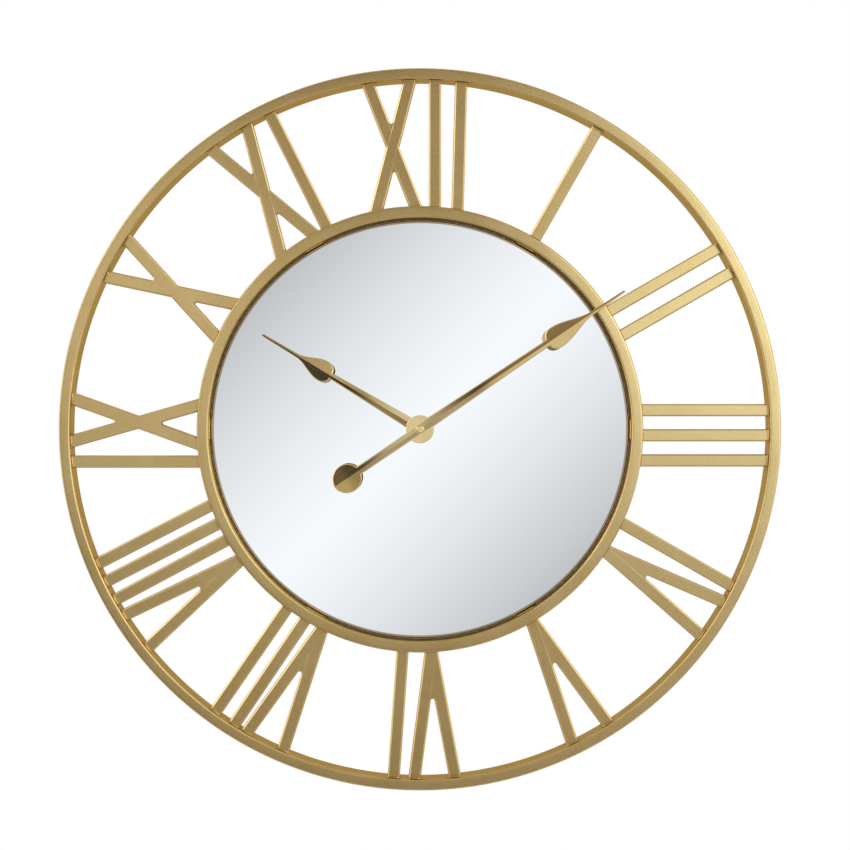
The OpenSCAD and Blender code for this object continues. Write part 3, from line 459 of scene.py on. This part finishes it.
# Outline sizes of the hands, in millimetres as in a drawing
minuteShape = {
    "angle": minuteAngle, "tip": 205, "base": 128, "spadeLength": 46, "spadeWidth": 19.4,
    "rootWidth": 9, "endWidth": 6.2, "tailAt": 73, "tailDisc": 25, "tailWidth": 7.6,
    "hubDisc": 23.3, "flat": 7.7, "bore": 5.5,
}
hourShape = {
    "angle": hourAngle, "tip": 153, "base": 86, "spadeLength": 34, "spadeWidth": 18.7,
    "rootWidth": 10, "endWidth": 5.7, "tailAt": 0, "tailDisc": 0, "tailWidth": 0,
    "hubDisc": 21.5, "flat": 8.8, "bore": 8.1,
}
handSheet = {
    "shoulder": 8, "needle": 3.3, "point": 2.2,
    "hubFold": 5, "fold": 12, "foldBy": 75,  # degrees at the hub, degrees farther out, and where
    "thickness": 1.3, "sheet": 0.8, "ridgeRise": 0.6,
    "rim": 0.9, "needleRim": 0.35, "rimSteps": 4,
    "spacing": 5, "sharp": 8,  # of the points along an edge, and the angle from which one is sharp
}


def handEdge(shape):
    # Right half of the outline, from the ridge at the tail round to the ridge at the point
    sheet = handSheet
    points = []
    half = shape["endWidth"] / 2
    spadeHalf = shape["spadeWidth"] / 2
    needleHalf = sheet["needle"] / 2
    shoulderEnd = shape["base"] + sheet["shoulder"]
    if shape["tailDisc"]:
        discR = shape["tailDisc"] / 2
        last = math.acos(shape["tailWidth"] / 2 / discR)
        for k in range(25):
            a = -math.pi / 2 + (last + math.pi / 2) * k / 24
            points.append((discR * math.cos(a), -shape["tailAt"] + discR * math.sin(a)))
        points.append((shape["tailWidth"] / 2, -shape["hubDisc"] / 2))
        points.append((shape["rootWidth"] / 2, shape["hubDisc"] / 2))
    else:
        points.append((0, 0))
        points.append((shape["rootWidth"] / 2, 0))
    points.append((half, shape["base"]))
    for k in range(1, 13):
        a = math.pi / 2 * k / 12
        points.append((half + (spadeHalf - half) * math.sin(a),
                       shape["base"] + sheet["shoulder"] * (1 - math.cos(a))))
    for k in range(1, 21):
        t = k / 20
        bulge = (spadeHalf - needleHalf) / 2 * (1 + math.cos(math.pi * t))
        points.append((needleHalf + bulge,
                       shoulderEnd + (shape["spadeLength"] - sheet["shoulder"]) * t))
    points.append((sheet["point"] / 2, shape["tip"] - sheet["point"] / 2))
    points.append((0, shape["tip"]))
    # Long straight edges get points in between, since the fold changes along them
    closer = points[:1]
    for (x0, y0), (x1, y1) in zip(points, points[1:]):
        count = max(1, round(math.hypot(x1 - x0, y1 - y0) / sheet["spacing"]))
        for k in range(1, count + 1):
            closer.append((x0 + (x1 - x0) * k / count, y0 + (y1 - y0) * k / count))
    return closer


def insetDirections(points):
    # Unit-distance moves inwards at each point; the ends slide along the ridge
    normals = []
    for (x0, y0), (x1, y1) in zip(points, points[1:]):
        length = math.hypot(x1 - x0, y1 - y0)
        normals.append(((y1 - y0) / length, -(x1 - x0) / length))
    first, last = normals[0], normals[-1]
    padded = [(-first[0], first[1])] + normals + [(-last[0], last[1])]
    moves = []
    for (ax, ay), (bx, by) in zip(padded, padded[1:]):
        share = max(0.25, 1 + ax * bx + ay * by)
        moves.append((-(ax + bx) / share, -(ay + by) / share))
    return moves


def rimAt(shape, y):
    # The turned-down rim narrows to the needle's at the neck
    sheet = handSheet
    neck = shape["base"] + shape["spadeLength"]
    start = shape["base"] + 0.5 * shape["spadeLength"]
    t = min(1, max(0, (y - start) / (neck - start)))
    return sheet["rim"] + (sheet["needleRim"] - sheet["rim"]) * t


def foldedSheet(name, shape):
    sheet = handSheet
    points = handEdge(shape)
    moves = insetDirections(points)
    levels = []  # (share of the rim's width inwards, height) from the top face to the back
    for k in range(sheet["rimSteps"] + 1):
        a = math.pi / 2 * k / sheet["rimSteps"]
        levels.append((1 - math.sin(a), -(1 - math.cos(a))))
    bm = bmesh.new()
    for side in (1, -1):
        rows = []
        for inset, drop in levels + [(0, None)]:
            row = []
            for (x, y), (mx, my) in zip(points, moves):
                rim = rimAt(shape, y)
                u = max(0, x + mx * rim * inset)
                v = y + my * rim * inset
                w = -sheet["thickness"] if drop is None else drop * rim
                share = min(1, abs(v) / sheet["foldBy"]) ** 2
                fold = math.radians(sheet["hubFold"] + (sheet["fold"] - sheet["hubFold"]) * share)
                onRidge = u < 1e-6
                px = 0 if onRidge else u * math.cos(fold) + w * math.sin(fold)
                pz = w if onRidge else -u * math.sin(fold) + w * math.cos(fold)
                row.append(bm.verts.new((side * max(px, 0) * mm, v * mm, pz * mm)))
            rows.append(row)
        for upper, lower in zip(rows, rows[1:]):
            for k in range(len(upper) - 1):
                bm.faces.new((upper[k], upper[k + 1], lower[k + 1], lower[k]))
        for row, drop in ((rows[0], 0), (list(reversed(rows[-1])), sheet["thickness"])):
            ridge = []
            for vert in row:
                onAxis = abs(vert.co.x) < 1e-9
                ridge.append(vert if onAxis else bm.verts.new((0, vert.co.y, -drop * mm)))
            for k in range(len(row) - 1):
                corners = list(dict.fromkeys((row[k], row[k + 1], ridge[k + 1], ridge[k])))
                if len(corners) > 2:
                    bm.faces.new(corners)
    bmesh.ops.remove_doubles(bm, verts=bm.verts[:], dist=1e-6)
    bmesh.ops.triangulate(bm, faces=[f for f in bm.faces if len(f.verts) > 4])
    bmesh.ops.recalc_face_normals(bm, faces=bm.faces[:])
    mesh = bpy.data.meshes.new(name)
    bm.to_mesh(mesh)
    bm.free()
    return mesh


def clearSlivers(mesh):
    # The cuts leave slivers thinner than a hair; they go, and their edges are joined
    thin = 2e-6
    bm = bmesh.new()
    bm.from_mesh(mesh)
    bmesh.ops.remove_doubles(bm, verts=bm.verts[:], dist=thin)
    bmesh.ops.triangulate(bm, faces=[f for f in bm.faces if len(f.verts) > 4])
    bmesh.ops.dissolve_degenerate(bm, edges=bm.edges[:], dist=thin)
    bmesh.ops.remove_doubles(bm, verts=bm.verts[:], dist=thin)
    loose = [v for v in bm.verts if not v.link_faces]
    bmesh.ops.delete(bm, geom=loose, context="VERTS")
    bm.to_mesh(mesh)
    bm.free()


def cutOrJoin(thing, tool, operation):
    modifier = thing.modifiers.new("cut", "BOOLEAN")
    modifier.operation = operation
    modifier.solver = "EXACT"
    modifier.object = tool
    bakeModifiers(thing)
    bpy.data.objects.remove(tool)


def hand(name, shape, body, node, material):
    # Folded sheet on a hub disc, with a flat round the cap and a hole for the bush
    sheet = handSheet
    thing = newObject(name, foldedSheet(name, shape), material)
    top = -sheet["ridgeRise"] * mm
    bottom = top - sheet["sheet"] * mm
    hub, flat, bore = (shape[key] / 2 * mm for key in ("hubDisc", "flat", "bore"))
    soft = 0.25 * mm  # rounding of the hub disc's edges
    below, above = -8 * mm, 3 * mm  # well clear of the sheet
    under = solidOfRevolution("under", [
        (0, bottom + below), (hub, bottom + below), (hub, bottom), (0, bottom)])
    cutOrJoin(thing, newObject("under", under, material), "DIFFERENCE")
    level = solidOfRevolution("level", [(0, top), (flat, top), (flat, above), (0, above)])
    cutOrJoin(thing, newObject("level", level, material), "DIFFERENCE")
    disc = solidOfRevolution("disc", [
        (0, bottom), (hub - soft, bottom), (hub, bottom + soft), (hub, top - soft),
        (hub - 0.3 * soft, top - 0.3 * soft), (hub - soft, top), (0, top)])
    cutOrJoin(thing, newObject("disc", disc, material), "UNION")
    hole = solidOfRevolution("hole", [(0, below), (bore, below), (bore, above), (0, above)])
    cutOrJoin(thing, newObject("hole", hole, material), "DIFFERENCE")
    ridgeZ = -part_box(node)[0].y
    clearSlivers(thing.data)
    thing.data.transform(ontoDialTurned(shape["angle"], ridgeZ))
    thing.data.shade_smooth()
    thing.data.set_sharp_from_angle(angle=math.radians(sheet["sharp"]))
    finishPiece(thing, body)
    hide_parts(node)


hand("minuteHandSheet", minuteShape, "minute_work", "minute_hand", minuteGold)
hand("hourHandSheet", hourShape, "hour_work", "hour_hand", hourGold)
print("hands folded")


def geometryTree(name, sizes):
    # A tree with one named number for each size, and its material input
    tree = bpy.data.node_groups.new(name, "GeometryNodeTree")
    face = tree.interface
    face.new_socket("Geometry", in_out="INPUT", socket_type="NodeSocketGeometry")
    for label, value in sizes.items():
        kind = "NodeSocketInt" if isinstance(value, int) else "NodeSocketFloat"
        face.new_socket(label, in_out="INPUT", socket_type=kind).default_value = value
    face.new_socket("Material", in_out="INPUT", socket_type="NodeSocketMaterial")
    face.new_socket("Geometry", in_out="OUTPUT", socket_type="NodeSocketGeometry")
    return tree, tree.nodes.new("NodeGroupInput"), tree.nodes.new("NodeGroupOutput")


def closeTree(tree, entry, result, geometry):
    realized = addNode(tree, "GeometryNodeRealizeInstances", {"Geometry": geometry})
    shaded = addNode(tree, "GeometryNodeSetShadeSmooth", {
        "Geometry": realized.outputs[0], "Shade Smooth": True})
    painted = addNode(tree, "GeometryNodeSetMaterial", {
        "Geometry": shaded.outputs[0], "Material": entry.outputs["Material"]})
    tree.links.new(painted.outputs[0], result.inputs["Geometry"])


def runTree(thing, tree, sizes, material):
    modifier = thing.modifiers.new(tree.name, "NODES")
    modifier.node_group = tree
    values = dict(sizes, Material=material)
    for item in tree.interface.items_tree:
        if item.in_out == "INPUT" and item.name in values:
            modifier[item.identifier] = values[item.name]
    bakeModifiers(thing)


# Both rings: flat bar on edge, its edges rounded and its face a hair domed
hoopSweep = {"Outside Radius": 1.0, "Steps": 288}
hoopSection = {
    "frontRound": 1.3 * mm,
    "backRound": 1.2 * mm,
    "dome": 0.6,  # degrees that the face slopes at its edges
    "roundSteps": 10,
    "support": 0.4 * mm,  # narrow strip beside each rounding, which keeps the wall's shading flat
    "sharp": 40,
}
ringBar = {"outer_ring": 9 * mm, "inner_ring": 9.5 * mm}


def hoopTree():
    tree, entry, result = geometryTree("hoop", hoopSweep)
    section = addNode(tree, "GeometryNodeMeshToCurve", {"Mesh": entry.outputs["Geometry"]})
    path = addNode(tree, "GeometryNodeCurvePrimitiveCircle", {
        "Resolution": entry.outputs["Steps"], "Radius": entry.outputs["Outside Radius"]})
    swept = addNode(tree, "GeometryNodeCurveToMesh", {
        "Curve": path.outputs[0], "Profile Curve": section.outputs[0]})
    closeTree(tree, entry, result, swept.outputs[0])
    return tree


def barSection(width, depth):
    # Closed outline of the bar: X outwards to the outside wall at 0, Y from front to back
    look = hoopSection
    front, back = look["frontRound"], look["backRound"]
    dome = math.radians(look["dome"])
    half = width / 2
    reach = half - front + front * math.sin(dome)
    rise = reach * math.tan(dome) / 2
    steps = look["roundSteps"]
    side = [(reach * k / 4, rise * (k / 4) ** 2) for k in range(5)]
    for k in range(1, steps + 1):
        a = dome + (math.pi / 2 - dome) * k / steps
        side.append((half - front + front * math.sin(a),
                     rise + front * (math.cos(dome) - math.cos(a))))
    side.append((half, rise + front * math.cos(dome) + look["support"]))
    side.append((half, depth - back - look["support"]))
    for k in range(steps // 2 + 1):
        a = math.pi / 2 * k / (steps // 2)
        side.append((half - back + back * math.cos(a), depth - back + back * math.sin(a)))
    outline = side + [(-x, y) for x, y in reversed(side) if x > 0]
    points = [(x - half, y, 0) for x, y in outline]
    mesh = bpy.data.meshes.new("barSection")
    mesh.from_pydata(points, [(k, (k + 1) % len(points)) for k in range(len(points))], [])
    return mesh


def hoop(name, node, tree):
    low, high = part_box(node)
    thing = newObject(name, barSection(ringBar[node], high.y - low.y), slotMaterial["gold"])
    sizes = dict(hoopSweep, **{"Outside Radius": (high.x - low.x) / 2})
    runTree(thing, tree, sizes, slotMaterial["gold"])
    thing.data.transform(ontoDial(low.y))
    return thing


lugRoot = {
    "front": 0.5 * mm,  # the lugs are taken from here before the board's back
    "back": 3 * mm,  # to here behind it
    "cutShort": 0.3 * mm,  # and up to this short of the ring's wall
    "zone": 0.8 * mm,  # what lies this near the wall is a root
    "reach": 1.2 * mm,  # and moves outwards by this much
}


def lugsOf(node, hole, low, high):
    # The lugs alone, out of a copy of their ring, with roots moved outwards into its bar
    copy = bmesh.new()
    copy.from_mesh(nodes[node].data)
    bmesh.ops.remove_doubles(copy, verts=copy.verts[:], dist=1e-6)
    mesh = bpy.data.meshes.new("lugs")
    copy.to_mesh(mesh)
    copy.free()
    lugs = newObject("lugs", mesh, slotMaterial["gold"])
    cut = hole - lugRoot["cutShort"]
    zone = solidOfRevolution("zone", [(0, -high), (cut, -high), (cut, -low), (0, -low)])
    zone.transform(ontoDial(0))
    cutOrJoin(lugs, newObject("zone", zone, slotMaterial["gold"]), "INTERSECT")
    for vert in lugs.data.vertices:
        offset = Vector((vert.co.x, 0, vert.co.z - dialZ))
        if offset.length > hole - lugRoot["zone"]:
            vert.co += offset.normalized() * lugRoot["reach"]
    return lugs


sweep = hoopTree()
outerHoop = hoop("outerHoop", "outer_ring", sweep)
innerHoop = hoop("innerHoop", "inner_ring", sweep)
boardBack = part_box("backing_board")[1].y
innerLow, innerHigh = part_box("inner_ring")
innerRadius = (innerHigh.x - innerLow.x) / 2
lugs = lugsOf("inner_ring", innerRadius - ringBar["inner_ring"],
              boardBack - lugRoot["front"], boardBack + lugRoot["back"])
cutOrJoin(innerHoop, lugs, "UNION")
clearSlivers(innerHoop.data)
for thing, node in ((outerHoop, "outer_ring"), (innerHoop, "inner_ring")):
    thing.data.shade_smooth()
    thing.data.set_sharp_from_angle(angle=math.radians(hoopSection["sharp"]))
    finishPiece(thing, "clock_frame")
    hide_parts(node)
    print(thing.name, len(thing.data.polygons), "faces")


weldBead = {"Bead Radius": 0.75 * mm, "Sides": 8}
weldReach = 0.1 * mm  # how near a stroke's end face lies to its ring's wall


def weldTree():
    tree, entry, result = geometryTree("weld beads", weldBead)
    path = addNode(tree, "GeometryNodeMeshToCurve", {"Mesh": entry.outputs["Geometry"]})
    section = addNode(tree, "GeometryNodeCurvePrimitiveCircle", {
        "Resolution": entry.outputs["Sides"], "Radius": entry.outputs["Bead Radius"]})
    tube = addNode(tree, "GeometryNodeCurveToMesh", {
        "Curve": path.outputs[0], "Profile Curve": section.outputs[0]})
    closeTree(tree, entry, result, tube.outputs[0])
    return tree


def strokeEnds(wallRadii):
    # Outlines of the strokes' end faces, where the numerals meet the rings
    paths = bmesh.new()
    for hour in range(1, 13):
        bm = bmesh.new()
        bm.from_mesh(nodes["numeral_%d" % hour].data)
        bmesh.ops.remove_doubles(bm, verts=bm.verts[:], dist=1e-6)
        for wall in wallRadii:
            def atWall(vert):
                return abs(math.hypot(vert.co.x, vert.co.z - dialZ) - wall) < weldReach
            ends = {f for f in bm.faces if all(atWall(v) for v in f.verts)}
            copies = {}
            for edge in bm.edges:
                if len([f for f in edge.link_faces if f in ends]) == 1:
                    for v in edge.verts:
                        if v not in copies:
                            copies[v] = paths.verts.new(v.co)
                    paths.edges.new([copies[v] for v in edge.verts])
        bm.free()
    mesh = bpy.data.meshes.new("strokeEnds")
    paths.to_mesh(mesh)
    paths.free()
    return mesh


outerHole = ringHigh.x - ringBar["outer_ring"]
beads = newObject("weldBeads", strokeEnds((innerRadius, outerHole)), slotMaterial["gold"])
runTree(beads, weldTree(), weldBead, slotMaterial["gold"])
finishPiece(beads, "clock_frame")
print("weld beads:", len(beads.data.polygons), "faces")


helixShape = {
    "Radius": 1.0, "Length": 1.0, "Turns": 1.0, "Wire Radius": 1.0, "Steps": 32, "Sides": 6}


def helixTree():
    # A tube along a helix about Z that starts at the origin's level
    tree, entry, result = geometryTree("helix", helixShape)
    spiral = addNode(tree, "GeometryNodeCurveSpiral", {
        "Resolution": entry.outputs["Steps"], "Rotations": entry.outputs["Turns"],
        "Start Radius": entry.outputs["Radius"], "End Radius": entry.outputs["Radius"],
        "Height": entry.outputs["Length"]})
    section = addNode(tree, "GeometryNodeCurvePrimitiveCircle", {
        "Resolution": entry.outputs["Sides"], "Radius": entry.outputs["Wire Radius"]})
    tube = addNode(tree, "GeometryNodeCurveToMesh", {
        "Curve": spiral.outputs[0], "Profile Curve": section.outputs[0], "Fill Caps": True})
    closeTree(tree, entry, result, tube.outputs[0])
    return tree


helix = helixTree()


def helixPiece(name, sizes, matrix, body, slot):
    thing = newObject(name, bpy.data.meshes.new(name), slotMaterial[slot])
    runTree(thing, helix, dict(helixShape, **sizes), slotMaterial[slot])
    thing.data.transform(matrix)
    finishPiece(thing, body)


# Thread on the movement's nozzle, from the nut forwards
nozzleThread = {
    "diameter": 8 * mm, "pitch": 0.75 * mm, "ridge": 0.26 * mm, "setIn": 0.08 * mm,
    "bareTip": 1.2 * mm}
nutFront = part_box("centre_nut")[0].y
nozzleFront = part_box("movement_case")[0].y
threadLength = nutFront - nozzleFront - nozzleThread["bareTip"]
helixPiece("nozzleThread", {
    "Radius": nozzleThread["diameter"] / 2 - nozzleThread["setIn"], "Length": threadLength,
    "Turns": threadLength / nozzleThread["pitch"], "Wire Radius": nozzleThread["ridge"]},
    ontoDial(nutFront), "clock_frame", "black_plastic")

# Winding between the coil's flanges
winding = {"wire": 0.12 * mm, "pitch": 0.252 * mm, "flange": 0.8 * mm, "flangeRim": 0.4 * mm}
coilLow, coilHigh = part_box("coil")
coilLength = coilHigh.x - coilLow.x - 2 * winding["flange"] - 2 * winding["wire"]
coilMiddle = (coilLow + coilHigh) / 2
coilRadius = (coilHigh.z - coilLow.z) / 2 - winding["flangeRim"]
helixPiece("coilWinding", {
    "Radius": coilRadius, "Length": coilLength, "Turns": coilLength / winding["pitch"],
    "Wire Radius": winding["wire"], "Steps": 24},
    Matrix.Translation((coilMiddle.x - coilLength / 2, coilMiddle.y, coilMiddle.z))
    @ Matrix.Rotation(math.pi / 2, 4, "Y"),
    "clock_frame", "copper_wire")
print("thread and winding turned")

cameraView = {
    "distance": 1.974,  # from the rings' front to the lens
    "lens": 100.7,
    "picture": 850,
    "centre": (419.95, 429.3),  # the dial's centre in the picture
}
camera = bpy.data.cameras.new("camera")
camera.lens = cameraView["lens"]
camera.sensor_width = 36
camera.shift_x = (cameraView["picture"] / 2 - cameraView["centre"][0]) / cameraView["picture"]
camera.shift_y = (cameraView["centre"][1] - cameraView["picture"] / 2) / cameraView["picture"]
cameraObject = bpy.data.objects.new("camera", camera)
bpy.context.scene.collection.objects.link(cameraObject)
cameraObject.location = (0, ringLow.y - cameraView["distance"], dialZ)
cameraObject.rotation_euler = (math.pi / 2, 0, 0)
bpy.context.scene.camera = cameraObject

# Directions are given as seen from the dial: degrees off its axis, then clockwise from twelve
softboxes = {
    "keySoftbox": {"off": 24, "clock": 74, "far": 3.0, "size": 1.2, "watts": 8},
    "fillSoftbox": {"off": 22, "clock": 293, "far": 3.0, "size": 0.6, "watts": 2.5},
}


def direction(off, clock):
    off, clock = math.radians(off), math.radians(clock)
    aside = math.sin(off)
    return Vector((aside * math.sin(clock), -math.cos(off), aside * math.cos(clock)))


def softbox(name, look):
    lamp = bpy.data.lights.new(name, "AREA")
    lamp.shape = "DISK"
    lamp.size = look["size"]
    lamp.energy = look["watts"]
    thing = bpy.data.objects.new(name, lamp)
    bpy.context.scene.collection.objects.link(thing)
    towards = direction(look["off"], look["clock"])
    thing.location = Vector((0, 0, dialZ)) + towards * look["far"]
    thing.rotation_euler = towards.to_track_quat("Z", "Y").to_euler()
    thing.visible_camera = False
    thing.visible_glossy = False  # metal sees the room's glows in their place


for name, look in softboxes.items():
    softbox(name, look)

room = {
    "white": 1.0,
    "diffuse": 0.72,
    "sides": (0.62, 0.615, 0.60),  # the pale studio well off the clock's axis
    # Where each comes in, as cosines of the angle to the dial's axis: none of it, all of it
    "sidesRange": (0.915, 0.84),
    "behindRange": (-0.05, -0.45),
    "cardRange": (0.9950, 0.9961),
    "cardSlope": 0.0875,
    "cardBright": 1.0,
    "cardFall": 0.43,
    "cardPower": 1.25,
    "cardReach": 1.1,  # where the fall stops, as a share of the card's slope
    "cardTint": (0.98, 1.0, 1.025),
    "cardClock": 315,
}
# Glows in the front of the room: degrees off the axis, clock, width in degrees, colour
glows = (
    (10, 285, 4.5, (1.19, 1.25, 1.41)),
    (10, 305, 4.5, (0.94, 0.95, 0.98)),
    (10, 60, 4.5, (0.00, 0.00, 0.04)),
    (10, 82, 4.5, (0.19, 0.26, 0.38)),
    (13, 0, 5.5, (0.19, 0.11, 0.04)),
    (13, 30, 5.5, (0.27, 0.20, 0.11)),
    (13, 60, 5.5, (2.20, 2.77, 3.43)),
    (13, 90, 5.5, (1.08, 1.26, 1.61)),
    (13, 120, 5.5, (0.27, 0.26, 0.31)),
    (13, 150, 5.5, (0.47, 0.44, 0.46)),
    (13, 210, 5.5, (0.44, 0.37, 0.30)),
    (27, 0, 6.5, (0.14, 0.12, 0.08)),
    (27, 22.5, 6.5, (0.05, 0.01, 0.00)),
    (27, 45, 6.5, (2.78, 2.68, 2.25)),
    (27, 67.5, 6.5, (3.04, 3.21, 3.35)),
    (27, 90, 6.5, (2.01, 2.06, 2.12)),
    (27, 135, 6.5, (0.91, 0.88, 0.79)),
    (27, 157.5, 6.5, (0.43, 0.37, 0.23)),
    (27, 337.5, 6.5, (0.29, 0.22, 0.14)),
    (50, 60, 13, (1.60, 1.66, 1.70)),
    (50, 90, 13, (0.54, 0.56, 0.57)),
    (50, 270, 13, (0.75, 0.77, 0.79)),
    (50, 300, 13, (2.55, 2.60, 2.66)),
    (80, 45, 17, (0.06, 0.07, 0.07)),
    (80, 90, 17, (0.95, 0.98, 1.00)),
    (80, 270, 17, (1.00, 1.02, 1.04)),
    (80, 315, 17, (0.39, 0.40, 0.42)),
)


def studioWorld():
    look = room
    world = bpy.data.worlds.new("studio")
    world.use_nodes = True
    bpy.context.scene.world = world
    tree = world.node_tree
    way = addNode(tree, "ShaderNodeTexCoord").outputs["Generated"]
    parts = addNode(tree, "ShaderNodeSeparateXYZ", {"Vector": way})
    ahead = maths(tree, "MULTIPLY", parts.outputs["Y"], -1.0)  # 1 straight in front of the dial
    # What metal and mirror see: pale walls off to the sides, soft glows in front, white behind
    aside = remap(tree, ahead, *look["sidesRange"], smooth=True)
    roomColour = scaled(tree, look["sides"], aside)
    for off, clock, width, colour in glows:
        near = vectorMaths(tree, "DOT_PRODUCT", way, tuple(direction(off, clock)))
        sharpness = 1 / (1 - math.cos(math.radians(width)))
        power = maths(tree, "EXPONENT", maths(tree, "MULTIPLY_ADD", near, sharpness, -sharpness))
        roomColour = vectorMaths(tree, "ADD", scaled(tree, colour, power), roomColour)
    behind = remap(tree, ahead, *look["behindRange"], smooth=True)
    roomColour = blendColours(tree, behind, roomColour, (look["white"],) * 3)
    # The pale card round the lens, which the mirror shows as a slanting bright band
    cardWay = direction(90, look["cardClock"])
    safeAhead = maths(tree, "MAXIMUM", ahead, 0.05)
    across = maths(tree, "DIVIDE", vectorMaths(tree, "DOT_PRODUCT", way, tuple(cardWay)), safeAhead)
    across = maths(tree, "DIVIDE", across, look["cardSlope"])
    across = maths(tree, "MINIMUM", maths(tree, "ABSOLUTE", across), look["cardReach"])
    fallen = maths(tree, "POWER", across, look["cardPower"])
    bright = maths(tree, "MULTIPLY_ADD", fallen, -look["cardFall"], look["cardBright"])
    onCard = remap(tree, ahead, *look["cardRange"], smooth=True)
    seen = blendColours(tree, onCard, roomColour, scaled(tree, look["cardTint"], bright))
    rays = addNode(tree, "ShaderNodeLightPath")
    soft = blendColours(tree, rays.outputs["Is Glossy Ray"], (look["diffuse"],) * 3, seen)
    direct = maths(tree, "MAXIMUM",
                   rays.outputs["Is Camera Ray"], rays.outputs["Is Transmission Ray"])
    colour = blendColours(tree, direct, soft, (look["white"],) * 3)
    plug(tree, tree.nodes["Background"].inputs["Color"], colour)


studioWorld()

floorShape = {
    "drop": 0.95, "half": 2.4, "colour": (0.82, 0.82, 0.82), "roughness": 0.9,
    "fade": (0.5, 2.0)}  # metres from the middle, where the floor starts and ends turning white


def floor():
    # Pale floor well below the clock; it fades into the white ground away from the shadow
    look = floorShape
    material, tree, shader, place = newMaterial("paleFloor")
    shader.inputs["Base Color"].default_value = (*look["colour"], 1)
    shader.inputs["Roughness"].default_value = look["roughness"]
    white = addNode(tree, "ShaderNodeEmission", {"Color": (1, 1, 1, 1)})
    flat = vectorMaths(tree, "MULTIPLY", place, (1, 1, 0))
    away = remap(tree, vectorMaths(tree, "LENGTH", flat), *look["fade"], smooth=True)
    seen = addNode(tree, "ShaderNodeLightPath")
    fade = maths(tree, "MULTIPLY", away, seen.outputs["Is Camera Ray"])
    mixed = addNode(tree, "ShaderNodeMixShader", {
        0: fade, 1: shader.outputs[0], 2: white.outputs[0]})
    tree.links.new(mixed.outputs[0], tree.nodes["Material Output"].inputs["Surface"])
    half = look["half"]
    z = ringLow.z - look["drop"]
    mesh = bpy.data.meshes.new("floor")
    corners = [(-half, -half, z), (half, -half, z), (half, half, z), (-half, half, z)]
    mesh.from_pydata(corners, [], [(0, 1, 2, 3)])
    newObject("floor", mesh, material)


floor()
bpy.context.scene.view_settings.view_transform = "Standard"

print("scene ready")
